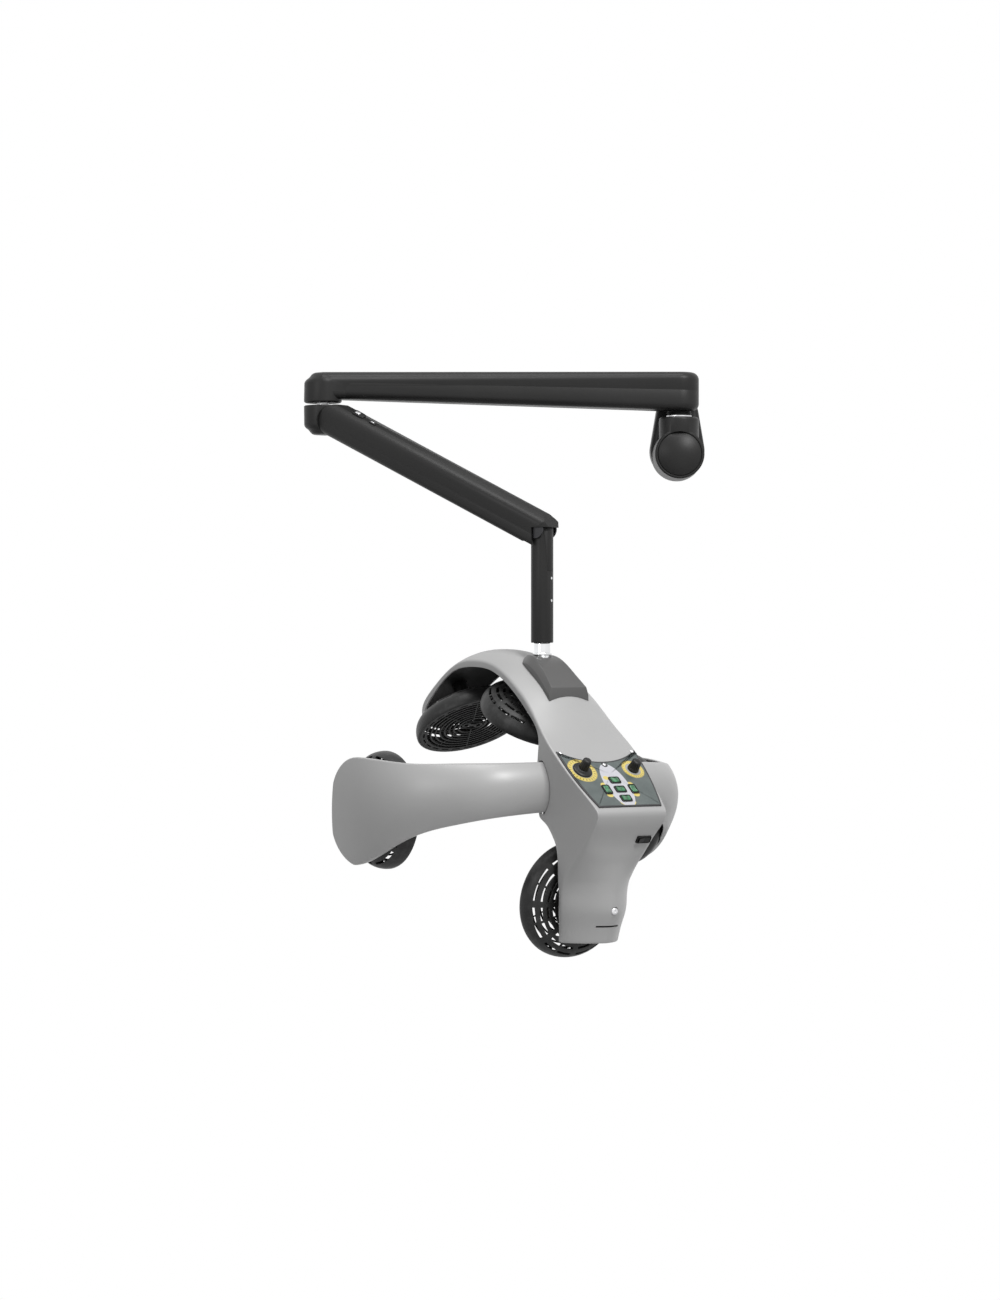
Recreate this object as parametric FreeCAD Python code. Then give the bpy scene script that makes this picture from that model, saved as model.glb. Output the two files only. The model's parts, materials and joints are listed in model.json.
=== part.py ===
import FreeCAD, Part
import math
import os

from FreeCAD import Vector, Rotation, Placement

# Wall-mounted infrared hair colour processor: a bracket, two swinging arms, a levelled
# drop sleeve and a processing head with five heaters round the client's head.
# Millimetres, +Z up, wall on the plane Y = 0, the machine on the -Y side,
# origin at the centre of the wall plate's bolt pattern.

# ---------------------------------------------------------------- common sizes
WALL = 3.0                # moulded shell wall
THIN_WALL = 2.4           # liner and heater wall
RUN_FIT = 0.05            # radial clearance of a shaft in its bush
LOOSE_FIT = 0.4           # radial clearance of the rod's open eye
GAP = 0.3                 # gap between faces that slide past each other

# ---------------------------------------------------------------- wall bracket
PLATE_W, PLATE_H, PLATE_T = 56.0, 84.0, 5.0
BOLT_PITCH_X, BOLT_PITCH_Z, BOLT_HOLE_R = 36.0, 60.0, 3.3
BRACKET_R = 43.5          # round lower end of the teardrop
BRACKET_DROP = 19.0       # its centre below the origin
BRACKET_TOP_R = 34.0      # round upper end behind the arm
BRACKET_TOP_Z = 38.0
BRACKET_BASE_T = 40.0     # depth of the teardrop on the wall
BARREL_Z = -28.0          # horizontal barrel that carries the round cap
BARREL_R = 39.0
BARREL_Y = -107.0
CAP_R, CAP_RISE, CAP_SEAT = 34.0, 9.0, 4.0
SOCKET_R = 31.5           # upright socket of the first pivot
SOCKET_TOP = 31.0
SOCKET_ROUND = 4.0
PIVOT_Y = -80.0           # first pivot, out from the wall
PIN_R = 10.0              # upright pivot pins
PIN_FOOT_Z = -12.0
BUSH_R, BUSH_FLANGE_R, BUSH_FLANGE_T = 14.0, 20.0, 2.5
WASHER_R = 14.3

# ---------------------------------------------------------------- upper arm
UPPER_LEN = 565.0         # wall pivot to elbow pivot
ARM_TOP = 102.0           # top of the upper arm
ARM_FOOT = 41.0           # underside at the wall pivot
ARM_FOOT_ELBOW = 60.0     # underside near the elbow
UPPER_R_WALL, UPPER_R_ELBOW = 31.5, 25.0
UPPER_ROUND = 12.0
SEAM_WALL, SEAM_ELBOW = 72.8, 85.0
ELBOW_R, ELBOW_ROUND = 30.0, 17.0
ELBOW_CAP_FOOT = 53.8
SEAM_END = 528.0          # the lower shell stops short of the elbow cap
TUBE_W, TUBE_H, TUBE_WALL = 30.0, 28.0, 2.5
TUBE_Z = 78.5
BOSS_R = 17.0

# ---------------------------------------------------------------- elbow
ELBOW_TURN = 33.6         # lower arm's heading at rest, degrees from +X towards the room
ELBOW_TOP, ELBOW_BOTTOM = 49.5, 3.0
ELBOW_BASE_ROUND = 16.0
TILT_OUT = 36.0           # tilt pivot, out from the elbow pivot
TILT_Z = 23.0
KNUCKLE_GAP = 0.8         # gap round the arm's end
TONGUE_W, TONGUE_R = 16.0, 13.0
LEVEL_LIFT = 13.5         # levelling rod's pivots above the tilt pivots
CROSS_PIN_R = 6.0

# ---------------------------------------------------------------- lower arm
LOWER_LEN = 418.0         # tilt pivot to sleeve pivot
LOWER_DIP = 25.2          # dip below horizontal at rest, degrees
LOWER_W, LOWER_H, LOWER_ROUND = 50.0, 53.0, 15.0
HOOD_OUT = 20.5           # end of the arm past the sleeve pivot
LOWER_SEAM = -8.0         # parting line below the centre line
HOOD_CUT_BACK, HOOD_CUT_UP = 16.0, 3.0
HOOD_CORNER = 18.0        # rounding of the arm's end in plan
POCKET_AT, POCKET_LEN, POCKET_W, POCKET_DEEP = 12.0, 26.0, 18.0, 9.0
SPRING_R, SPRING_LEN = 8.0, 230.0
SIDE_PLATE_T = 2.5
SIDE_PLATE_AT = 17.6      # inner face of each side plate
SIDE_PLATE_R = 13.5
ROD_R, ROD_AT = 3.5, 12.5
STUD_R, EYE_R, EYE_W = 3.0, 5.5, 5.0

# ---------------------------------------------------------------- drop sleeve
SLEEVE_R, SLEEVE_BOTTOM = 17.0, -327.0
SLEEVE_TOP_OVER = 3.0     # sleeve top above its pivot
SLEEVE_BORE_R = 15.5
SLEEVE_BORE_TOP = -225.0
SLEEVE_BUSH_LEN = 34.0
COVER_LEN, COVER_HALF_TOP, COVER_HALF_FOOT, COVER_T = 66.0, 13.5, 7.8, 2.5
SLEEVE_SCREWS_Z = (-229.0, -263.0)

# ---------------------------------------------------------------- head
HEAD_YAW = 34.0           # the operator's side, turned from the wall's normal
STEM_R, STEM_WALL = 12.3, 2.0
STEM_TOP, STEM_FOOT = -236.0, -367.4
COLLAR_R, COLLAR_T = 14.6, 3.0
SADDLE_TOP = -345.6
# Saddle stations: y, roof z, half width of the roof, half width of the foot
SADDLE = (
    (21.0, -348.5, 17.0, 27.0),
    (4.0, -345.6, 20.0, 30.0),
    (-14.0, -350.5, 23.0, 32.0),
    (-34.0, -363.0, 25.5, 33.0),
    (-58.0, -383.0, 29.5, 35.0),
    (-71.0, -394.0, 32.0, 36.0),
)
SADDLE_SHOULDER = 12.0    # height of its sloping flanks

# Spine stations: edge point (y, z), crown rise, half width there, inner edge (y, z) and
# half width there. They run from the tip over the forehead to the foot behind the neck.
SPINE = (
    ((296.0, -458.0), 5.0, 24.0, (288.0, -461.0), 24.0),
    ((283.0, -432.0), 10.0, 36.0, (274.0, -437.0), 36.0),
    ((240.0, -401.0), 14.0, 46.0, (234.0, -408.0), 46.0),
    ((165.0, -362.0), 17.0, 52.0, (167.0, -371.0), 52.0),
    ((100.0, -354.0), 17.5, 57.0, (101.0, -364.0), 57.0),
    ((40.0, -363.0), 18.5, 59.0, (44.0, -372.0), 59.0),
    ((-20.0, -394.5), 20.0, 62.0, (-14.0, -403.0), 61.0),
    ((-57.0, -421.0), 19.0, 65.0, (-50.5, -429.0), 64.0),
    ((-93.0, -453.0), 13.0, 70.0, (-86.0, -461.0), 68.5),
    ((-136.0, -488.0), 4.0, 75.0, (-90.0, -500.0), 71.0),
    ((-186.0, -532.5), 1.0, 70.0, (-91.0, -545.0), 71.0),
    ((-228.0, -570.0), 1.0, 63.0, (-92.0, -578.0), 70.0),
    ((-232.0, -579.0), 0.5, 62.0, (-92.5, -586.0), 69.0),
)
ARCH_STATIONS = 9         # how many of them carry the arch over the head
# Column stations below the ledge: the same, and how square the front is in plan.
COLUMN = (
    ((-232.0, -579.0), 0.5, 62.0, (-92.5, -586.0), 69.0, 6.0),
    ((-224.0, -592.0), 3.5, 61.0, (-100.0, -595.0), 64.5, 6.0),
    ((-204.0, -607.0), 13.0, 60.0, (-108.0, -608.0), 60.0, 6.0),
    ((-178.0, -627.0), 26.5, 58.5, (-115.5, -627.0), 56.0, 5.0),
    ((-162.0, -641.0), 37.5, 58.0, (-118.0, -641.0), 55.0, 3.8),
    ((-149.0, -655.0), 46.0, 57.5, (-119.5, -655.0), 55.0, 3.1),
    ((-136.0, -680.0), 55.0, 57.0, (-122.0, -680.0), 56.0, 2.1),
    ((-131.0, -702.0), 58.5, 57.0, (-124.0, -702.0), 56.0, 1.95),
    ((-129.5, -724.0), 59.0, 56.0, (-121.0, -724.0), 54.5, 1.9),
    ((-126.0, -746.0), 51.0, 52.0, (-117.0, -746.0), 51.0, 2.0),
    ((-121.0, -772.0), 46.0, 49.0, (-112.0, -772.0), 48.0, 2.0),
)
RIDGE_SHARE = 0.06        # share of the column's front depth that its ridge takes
LINER_RISE = 0.7          # the liner's hollow, as a share of the shell's crown
TIP_LIMIT = 291.0         # inside of the tip
FOOT_FLOOR = 3.0          # thickness of the closed foot
STEM_HOLE_R = 13.0
SLOT_HALF, SLOT_H, SLOT_Z = 20.0, 2.5, -746.4
NAPE_SCREW_Z, NAPE_SCREW_R = -723.0, 3.2
NAPE_RECESS_R, NAPE_RECESS_DEEP = 6.5, 1.2
NAPE_FACE = -188.5        # front of the column at the neck screw

# ---------------------------------------------------------------- control panel
PANEL_TOP = (-137.7, -488.8)       # middle of the panel's upper corners, on its seat
PANEL_FOOT = (-226.8, -568.1)
PANEL_HALF_TOP, PANEL_HALF_FOOT = 71.0, 56.5
PANEL_SIDE_BOW, PANEL_TOP_DIP = 4.5, 24.0
PANEL_T = 2.0
DIAL_X, DIAL_DOWN = 46.0, 42.0     # knob centres: from the middle, down from the top
TIMER_R, TIMER_H = 13.0, 17.0
POWER_R, POWER_H = 8.5, 14.0
KNOB_SHAFT_R = 3.0
ROCKER_L, ROCKER_W, ROCKER_DEEP = 17.6, 11.0, 8.0
BEZEL_L, BEZEL_W, BEZEL_PROUD = 21.0, 14.5, 1.5
ROCKER_PROUD = 2.2
ROCKERS = (
    ("crown", 0.0, 64.6, False),
    ("left", -23.7, 83.9, True),
    ("forehead", 0.0, 83.8, False),
    ("right", 23.7, 83.9, True),
    ("nape", 0.0, 103.1, False),
)
PANEL_SCREW_R = 2.6
SWITCH_AT = (36.3, -209.4, -617.0)
SWITCH_L, SWITCH_W, SWITCH_RIM = 22.6, 8.0, 1.7
SWITCH_LEAN = 33.0        # the switch faces down by this many degrees
SWITCH_TURN = 4.0         # and outward by this many
TRUNNION_R, TRUNNION_OUT = 1.2, 0.3

# ---------------------------------------------------------------- heaters
HEATER_R, HEATER_DEEP = 89.0, 36.0
HEATER_LIP_R = 82.0
HEATER_BACK_R = 64.0
GRILLE_T = 2.4
GRILLE_RIM_R = 72.0
GRILLE_RINGS = (34.0, 53.0)
RING_W = 3.4
SPOKES = 6
SPOKE_W = 3.0
HUB_HALF, HUB_R = 8.0, 8.5
VENT_R, VENT_W = 46.0, 6.0
ELEMENT_R, ELEMENT_WIRE = 46.0, 4.0
ELEMENT_DEPTH = 14.0
POST_R = 12.0
HEATER_ROOM = 1.0         # clearance between a side heater and its arm
# front centre (x, y, z) and the way each heater faces, in the head's own frame
FOREHEAD_AT, FOREHEAD_DIP = (0.0, 192.0, -456.0), 30.0
CROWN_AT, CROWN_DIP = (0.0, 17.0, -444.0), 29.0
NAPE_AT, NAPE_LIFT = (0.0, -68.0, -711.0), 9.5
SIDE_AT = (219.0, 90.0, -578.5)
FOREHEAD_POST, CROWN_POST, NAPE_POST, SIDE_STALK = 37.1, 29.25, 18.7, 13.05

# ---------------------------------------------------------------- side arms
# Arm stations: outer edge in plan (x, y), crown, top z, bottom z.
ARM_STATIONS = (
    ((66.0, -106.5), 15.0, -504.0, -578.5),
    ((139.0, -92.2), 17.0, -505.0, -585.0),
    ((196.0, -53.6), 18.0, -505.5, -597.0),
    ((240.0, 1.4), 15.0, -506.0, -617.5),
    ((263.5, 80.3), 12.5, -500.0, -655.0),
    ((263.0, 172.0), 9.0, -499.0, -663.0),
)
ARM_LINER_SHARE = (0.05, 0.05, 0.5, 0.8, 0.85, 0.85)   # how far it follows the crown
RIGHT_ARM_TURN = 1.0      # the right arm stands this many degrees further in
RIGHT_ARM_SAG = 9.0       # and its free end hangs this much lower
ARM_LINER_FROM = 82.0
LINER_NOTCH_FROM = 59.0   # the spine's liner is notched beyond this for the arms' roots
ARM_DEPTH = 6.5
ARM_END_Y, ARM_END_ROUND = 168.0, 62.0
HINGE = (66.5, -105.0)    # upright hinge of each side arm
HINGE_PIN_R = 3.0
ARM_ROOM = 1.8            # gap round the arm where it enters the spine
HINGE_EYE_R = 7.5
HINGE_EYE_H = 34.0
HINGE_BLOCK_BACK = -92.0  # where the hinge posts meet the liner
HINGE_LUG_T = 5.0
ARM_SWINGS = (-2.0, 3.0, 8.0)      # the arm's way in its opening, degrees outward


# ================================================================ small helpers
def box(x0, x1, y0, y1, z0, z1):
    """A box between two corners."""
    return Part.makeBox(x1 - x0, y1 - y0, z1 - z0, Vector(x0, y0, z0))


def rod(radius, start, end):
    """A round bar from one point to another."""
    a = Vector(*start)
    b = Vector(*end)
    return Part.makeCylinder(radius, (b - a).Length, a, b - a)


def polygon(points):
    """A closed face through a list of points."""
    loop = [Vector(*p) for p in points]
    return Part.Face(Part.makePolygon(loop + loop[:1]))


def union(shapes):
    """One solid made of several that meet."""
    joined = shapes[0].multiFuse(shapes[1:])
    return joined.removeSplitter()


def rounded(shape, radius, picked):
    """Round the edges for which picked(edge) is true."""
    edges = [e for e in shape.Edges if picked(e)]
    return shape.makeFillet(radius, edges) if edges else shape


def at(shape, placement):
    """A copy of the shape moved to a placement."""
    copy = shape.copy()
    copy.Placement = placement.multiply(copy.Placement)
    return copy


def save(name, shapes):
    """Write one sub-part, or a group of separate solids, to its STEP file."""
    solids = []
    for shape in shapes if isinstance(shapes, (list, tuple)) else [shapes]:
        solids.extend(shape.Solids)
    body = solids[0] if len(solids) == 1 else Part.makeCompound(solids)
    body.exportStep("parts/" + name + ".step")


def is_level(edge, z, tolerance=0.5):
    """True for an edge that lies in the plane at height z."""
    bounds = edge.BoundBox
    return abs(bounds.ZMin - z) < tolerance and abs(bounds.ZMax - z) < tolerance


# ================================================================ frames
ELBOW = Vector(-UPPER_LEN, PIVOT_Y, 0)
ELBOW_FRAME = Placement(ELBOW, Rotation(Vector(0, 0, 1), -ELBOW_TURN))
TILT_FRAME = ELBOW_FRAME.multiply(
    Placement(Vector(TILT_OUT, 0, TILT_Z), Rotation(Vector(0, 1, 0), LOWER_DIP)))
SLEEVE_PIVOT = TILT_FRAME.multVec(Vector(LOWER_LEN, 0, 0))
SLEEVE_FRAME = Placement(SLEEVE_PIVOT, Rotation(Vector(0, 0, 1), -ELBOW_TURN))
HEAD_FRAME = Placement(Vector(SLEEVE_PIVOT.x, SLEEVE_PIVOT.y, 0),
                       Rotation(Vector(0, 0, 1), HEAD_YAW))


# ================================================================ wall bracket
def teardrop(inset, y0, y1):
    """The bracket's outline on the wall: two arcs joined by tangents, pushed out along Y."""
    foot = Part.makeCylinder(BRACKET_R - inset, y1 - y0, Vector(0, y0, -BRACKET_DROP),
                             Vector(0, 1, 0))
    head = Part.makeCylinder(BRACKET_TOP_R - inset, y1 - y0, Vector(0, y0, BRACKET_TOP_Z),
                             Vector(0, 1, 0))
    rise = BRACKET_TOP_Z + BRACKET_DROP
    lean = math.asin((BRACKET_R - BRACKET_TOP_R) / rise)
    side, up = math.cos(lean), math.sin(lean)
    low, high = BRACKET_R - inset, BRACKET_TOP_R - inset
    web = polygon([
        (-low * side, y0, low * up - BRACKET_DROP),
        (low * side, y0, low * up - BRACKET_DROP),
        (high * side, y0, high * up + BRACKET_TOP_Z),
        (-high * side, y0, high * up + BRACKET_TOP_Z),
    ]).extrude(Vector(0, y1 - y0, 0))
    return union([foot, head, web])


def wall_plate():
    """Steel plate screwed to the wall behind the bracket."""
    plate = box(-PLATE_W / 2, PLATE_W / 2, -PLATE_T, 0, -PLATE_H / 2, PLATE_H / 2)
    plate = rounded(plate, 8.0, lambda e: e.BoundBox.YLength > PLATE_T - 0.1)
    for x in (-BOLT_PITCH_X / 2, BOLT_PITCH_X / 2):
        for z in (-BOLT_PITCH_Z / 2, BOLT_PITCH_Z / 2):
            plate = plate.cut(rod(BOLT_HOLE_R, (x, -PLATE_T, z), (x, 0, z)))
    return plate


def bracket_body():
    """Cast bracket: teardrop foot, horizontal barrel and upright socket."""
    foot = rounded(teardrop(0, -BRACKET_BASE_T, 0), 9.0,
                   lambda e: e.BoundBox.YMax < -BRACKET_BASE_T + 0.1)
    barrel = Part.makeCone(BRACKET_R - 2.5, BARREL_R, -BARREL_Y - 8, Vector(0, -8, BARREL_Z + 2),
                           Vector(0, -1, -0.02))
    barrel = barrel.makeChamfer(2.0, [e for e in barrel.Edges if e.BoundBox.YMax < BARREL_Y + 6])
    socket = rod(SOCKET_R, (0, PIVOT_Y, BARREL_Z), (0, PIVOT_Y, SOCKET_TOP))
    socket = rounded(socket, SOCKET_ROUND, lambda e: is_level(e, SOCKET_TOP))
    neck = box(-SOCKET_R + 1, SOCKET_R - 1, PIVOT_Y, -20, BARREL_Z, SOCKET_TOP - SOCKET_ROUND)
    body = union([foot, barrel, socket, neck])
    # recess behind, which drops over the wall plate and leaves room for its bolt heads
    recess = box(-PLATE_W / 2 - GAP, PLATE_W / 2 + GAP, -PLATE_T - 14, 0,
                 -PLATE_H / 2 - GAP, PLATE_H / 2 + GAP)
    seat = rod(CAP_R + 1.2, (0, BARREL_Y - 10, BARREL_Z), (0, BARREL_Y + CAP_SEAT, BARREL_Z))
    bore = rod(BUSH_R, (0, PIVOT_Y, PIN_FOOT_Z - 3), (0, PIVOT_Y, SOCKET_TOP + 1))
    return body.cut(recess).cut(seat).cut(bore)


def bracket_cap():
    """Round domed cap in the barrel's end, with a thin groove round it."""
    plug = rod(CAP_R, (0, BARREL_Y, BARREL_Z), (0, BARREL_Y + CAP_SEAT, BARREL_Z))
    ball_r = (CAP_R ** 2 + CAP_RISE ** 2) / (2 * CAP_RISE)
    ball = Part.makeSphere(ball_r, Vector(0, BARREL_Y - CAP_RISE + ball_r, BARREL_Z))
    slab = rod(CAP_R, (0, BARREL_Y - CAP_RISE - 1, BARREL_Z), (0, BARREL_Y, BARREL_Z))
    return union([plug, ball.common(slab)])


def bracket_bush():
    """Flanged bronze bush of the wall pivot."""
    sleeve = rod(BUSH_R, (0, PIVOT_Y, PIN_FOOT_Z), (0, PIVOT_Y, SOCKET_TOP))
    flange = rod(BUSH_FLANGE_R, (0, PIVOT_Y, SOCKET_TOP),
                 (0, PIVOT_Y, SOCKET_TOP + BUSH_FLANGE_T))
    bore = rod(PIN_R + RUN_FIT, (0, PIVOT_Y, PIN_FOOT_Z - 1), (0, PIVOT_Y, SOCKET_TOP + 9))
    return union([sleeve, flange]).cut(bore)


# ================================================================ upper arm
def upper_beam(inset):
    """Tapered bar with round ends in plan, sloping underside and rounded edges."""
    r0, r1 = UPPER_R_WALL - inset, UPPER_R_ELBOW - inset
    lean = math.asin((UPPER_R_WALL - UPPER_R_ELBOW) / UPPER_LEN)
    c, s = math.cos(lean), math.sin(lean)
    end = -UPPER_LEN
    near_a = Vector(-r0 * s, PIVOT_Y - r0 * c, 0)
    near_b = Vector(-r0 * s, PIVOT_Y + r0 * c, 0)
    far_a = Vector(end - r1 * s, PIVOT_Y - r1 * c, 0)
    far_b = Vector(end - r1 * s, PIVOT_Y + r1 * c, 0)
    wire = Part.Wire([
        Part.Arc(near_a, Vector(r0, PIVOT_Y, 0), near_b).toShape(),
        Part.makeLine(near_b, far_b),
        Part.Arc(far_b, Vector(end - r1, PIVOT_Y, 0), far_a).toShape(),
        Part.makeLine(far_a, near_a),
    ])
    plan = Part.Face(wire).extrude(Vector(0, 0, ARM_TOP - inset))
    x0, x1 = 60.0, -UPPER_LEN - 60.0
    slope = (ARM_FOOT_ELBOW - ARM_FOOT) / UPPER_LEN
    side = polygon([
        (x0, PIVOT_Y - 60, ARM_FOOT + inset - slope * x0),
        (x1, PIVOT_Y - 60, ARM_FOOT + inset - slope * x1),
        (x1, PIVOT_Y - 60, ARM_TOP - inset),
        (x0, PIVOT_Y - 60, ARM_TOP - inset),
    ]).extrude(Vector(0, 120, 0))
    beam = plan.common(side)
    radius = UPPER_ROUND - inset
    return rounded(beam, radius, lambda e: e.BoundBox.ZLength < 25)


def upper_hollow():
    """Plain hollow inside the upper arm's shells."""
    r0, r1 = UPPER_R_WALL - WALL, UPPER_R_ELBOW - WALL
    foot0, foot1 = ARM_FOOT + WALL, ARM_FOOT_ELBOW + WALL
    top = ARM_TOP - WALL
    corner = UPPER_ROUND - WALL
    sections = []
    for x, r, foot in ((8.0, r0 - 1.5, foot0), (-UPPER_LEN, r1, foot1)):
        sections.append(Part.makePolygon([
            Vector(x, PIVOT_Y - r, foot + corner), Vector(x, PIVOT_Y - r, top - corner),
            Vector(x, PIVOT_Y - r + corner, top), Vector(x, PIVOT_Y + r - corner, top),
            Vector(x, PIVOT_Y + r, top - corner), Vector(x, PIVOT_Y + r, foot + corner),
            Vector(x, PIVOT_Y + r - corner, foot), Vector(x, PIVOT_Y - r + corner, foot),
            Vector(x, PIVOT_Y - r, foot + corner)]))
    return Part.makeLoft(sections, True, True)


def elbow_cap(inset):
    """Round domed end over the elbow pivot."""
    cap = rod(ELBOW_R - inset, (-UPPER_LEN, PIVOT_Y, ELBOW_CAP_FOOT + inset),
              (-UPPER_LEN, PIVOT_Y, ARM_TOP - inset))
    cap = rounded(cap, ELBOW_ROUND - inset, lambda e: is_level(e, ARM_TOP - inset))
    return rounded(cap, 3.5 - inset, lambda e: is_level(e, ELBOW_CAP_FOOT)) if inset < 3 else cap


def seam_wedge():
    """Everything below the sloping parting line of the upper arm."""
    slope = (SEAM_ELBOW - SEAM_WALL) / UPPER_LEN
    x0, x1 = 60.0, -SEAM_END
    face = polygon([
        (x0, PIVOT_Y - 60, 0),
        (x1, PIVOT_Y - 60, 0),
        (x1, PIVOT_Y - 60, SEAM_WALL - slope * x1 - 8),
        (x1 + 8, PIVOT_Y - 60, SEAM_WALL - slope * x1),
        (x0, PIVOT_Y - 60, SEAM_WALL - slope * x0),
    ])
    return face.extrude(Vector(0, 120, 0))


def upper_arm_shells():
    """The two moulded shells, parted along the sloping seam."""
    outer = union([upper_beam(0), elbow_cap(0)])
    inner = union([upper_hollow(), elbow_cap(WALL)])
    shell = outer.cut(inner)
    shell = shell.cut(rod(PIN_R + 4, (0, PIVOT_Y, 0), (0, PIVOT_Y, ARM_FOOT + 20)))
    shell = shell.cut(rod(BOSS_R + GAP, (0, PIVOT_Y, ARM_FOOT + WALL),
                          (0, PIVOT_Y, ARM_TOP - WALL)))
    shell = shell.cut(rod(PIN_R + 2, (-UPPER_LEN, PIVOT_Y, 0), (-UPPER_LEN, PIVOT_Y, 70)))
    wedge = seam_wedge()
    return shell.cut(wedge), shell.common(wedge)


def upper_arm_tube():
    """Steel box tube welded between two pivot bosses."""
    tube = box(-UPPER_LEN, 0, PIVOT_Y - TUBE_W / 2, PIVOT_Y + TUBE_W / 2,
               TUBE_Z - TUBE_H / 2, TUBE_Z + TUBE_H / 2)
    hollow = box(-UPPER_LEN, 0, PIVOT_Y - TUBE_W / 2 + TUBE_WALL, PIVOT_Y + TUBE_W / 2 - TUBE_WALL,
                 TUBE_Z - TUBE_H / 2 + TUBE_WALL, TUBE_Z + TUBE_H / 2 - TUBE_WALL)
    tube = tube.cut(hollow)
    wall_boss = rod(BOSS_R, (0, PIVOT_Y, ARM_FOOT + WALL + GAP),
                    (0, PIVOT_Y, ARM_TOP - WALL - 1))
    elbow_boss = rod(BOSS_R, (-UPPER_LEN, PIVOT_Y, ELBOW_CAP_FOOT + WALL),
                     (-UPPER_LEN, PIVOT_Y, ARM_TOP - WALL - 1))
    tube = union([tube, wall_boss, elbow_boss])
    tube = tube.cut(rod(PIN_R, (0, PIVOT_Y, 0), (0, PIVOT_Y, ARM_TOP - WALL - 6)))
    return tube.cut(rod(PIN_R + RUN_FIT, (-UPPER_LEN, PIVOT_Y, 0),
                        (-UPPER_LEN, PIVOT_Y, ARM_TOP - WALL - 5)))


def wall_pivot_pin():
    """Upright pin pressed into the arm, with the thrust collar that rides on the bush."""
    z0 = SOCKET_TOP + BUSH_FLANGE_T + GAP
    collar = rod(WASHER_R, (0, PIVOT_Y, z0), (0, PIVOT_Y, ARM_FOOT - 1))
    step = rod(PIN_R + 4 - 0.1, (0, PIVOT_Y, z0), (0, PIVOT_Y, ARM_FOOT + WALL + GAP))
    pin = rod(PIN_R, (0, PIVOT_Y, PIN_FOOT_Z), (0, PIVOT_Y, ARM_TOP - WALL - 6))
    return union([pin, collar, step])


# ================================================================ elbow
def elbow_housing():
    """Round housing under the elbow, hollowed for the arm's end, with a tongue for its pin."""
    drum = rod(ELBOW_R, (0, 0, ELBOW_BOTTOM), (0, 0, ELBOW_TOP))
    drum = rounded(drum, ELBOW_BASE_ROUND, lambda e: is_level(e, ELBOW_BOTTOM))
    drum = drum.makeChamfer(1.2, [e for e in drum.Edges if is_level(e, ELBOW_TOP)])
    clear_r = LOWER_H / 2 + KNUCKLE_GAP
    drum = drum.cut(rod(clear_r, (TILT_OUT, -60, TILT_Z), (TILT_OUT, 60, TILT_Z)))
    # nothing of the drum is left past the pin, over or under the arm's end
    drum = drum.cut(box(TILT_OUT - 8, TILT_OUT + 40, -60, 60, ELBOW_BOTTOM - 1, ELBOW_TOP + 1))
    half = TONGUE_W / 2
    tongue = box(2, TILT_OUT, -half, half, TILT_Z - TONGUE_R, TILT_Z + TONGUE_R)
    nose = rod(TONGUE_R, (TILT_OUT, -half, TILT_Z), (TILT_OUT, half, TILT_Z))
    lug = union([
        rod(EYE_R, (TILT_OUT, -half, TILT_Z + LEVEL_LIFT), (TILT_OUT, half, TILT_Z + LEVEL_LIFT)),
        box(TILT_OUT - EYE_R, TILT_OUT + EYE_R, -half, half, TILT_Z, TILT_Z + LEVEL_LIFT),
    ])
    stud = rod(STUD_R, (TILT_OUT, half - 1, TILT_Z + LEVEL_LIFT),
               (TILT_OUT, ROD_AT + EYE_W / 2, TILT_Z + LEVEL_LIFT))
    body = union([drum, tongue, nose, lug, stud])
    body = body.cut(rod(PIN_R, (0, 0, ELBOW_BOTTOM + 8), (0, 0, ELBOW_TOP + 1)))
    return body.cut(rod(CROSS_PIN_R, (TILT_OUT, -half - 1, TILT_Z), (TILT_OUT, half + 1, TILT_Z)))


def elbow_pin():
    """Upright pin pressed into the housing, turning in the upper arm's boss."""
    return rod(PIN_R, (0, 0, ELBOW_BOTTOM + 8), (0, 0, ARM_TOP - WALL - 6))


def cross_pin(x, z):
    """Pin across the lower arm, held in the tongue between the side plates."""
    reach = SIDE_PLATE_AT + SIDE_PLATE_T
    return rod(CROSS_PIN_R, (x, -reach, z), (x, reach, z))


# ================================================================ lower arm
def lower_profile(inset):
    """Side view: round end at the tilt pivot, softly cornered hood at the sleeve."""
    r = LOWER_H / 2 - inset
    end = LOWER_LEN + HOOD_OUT - inset
    corner = 20.0 - inset
    y = -(LOWER_W / 2 - inset)
    edges = [
        Part.Arc(Vector(0, y, r), Vector(-r, y, 0), Vector(0, y, -r)).toShape(),
        Part.makeLine(Vector(0, y, -r), Vector(end - 6, y, -r)),
        Part.Arc(Vector(end - 6, y, -r), Vector(end - 6 + 6 * math.sin(math.pi / 4), y,
                 -r + 6 - 6 * math.cos(math.pi / 4)), Vector(end, y, -r + 6)).toShape(),
        Part.makeLine(Vector(end, y, -r + 6), Vector(end, y, r - corner)),
        Part.Arc(Vector(end, y, r - corner),
                 Vector(end - corner + corner * math.cos(math.pi / 4), y,
                        r - corner + corner * math.sin(math.pi / 4)),
                 Vector(end - corner, y, r)).toShape(),
        Part.makeLine(Vector(end - corner, y, r), Vector(0, y, r)),
    ]
    return Part.Face(Part.Wire(edges))


def lower_body(inset):
    """Solid form of the lower arm's casing."""
    width = LOWER_W - 2 * inset
    body = lower_profile(inset).extrude(Vector(0, width, 0))
    return body.common(lower_crown(inset)).common(lower_plan(inset))


def lower_plan(inset):
    """Plan view of the casing: straight sides and a round-cornered end over the sleeve."""
    w = LOWER_W / 2 - inset
    end = LOWER_LEN + HOOD_OUT - inset
    slab = box(-80, end, -w, w, -60, 60)
    return rounded(slab, HOOD_CORNER - inset,
                   lambda e: e.BoundBox.ZLength > 100 and e.BoundBox.XMin > 0)


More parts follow.
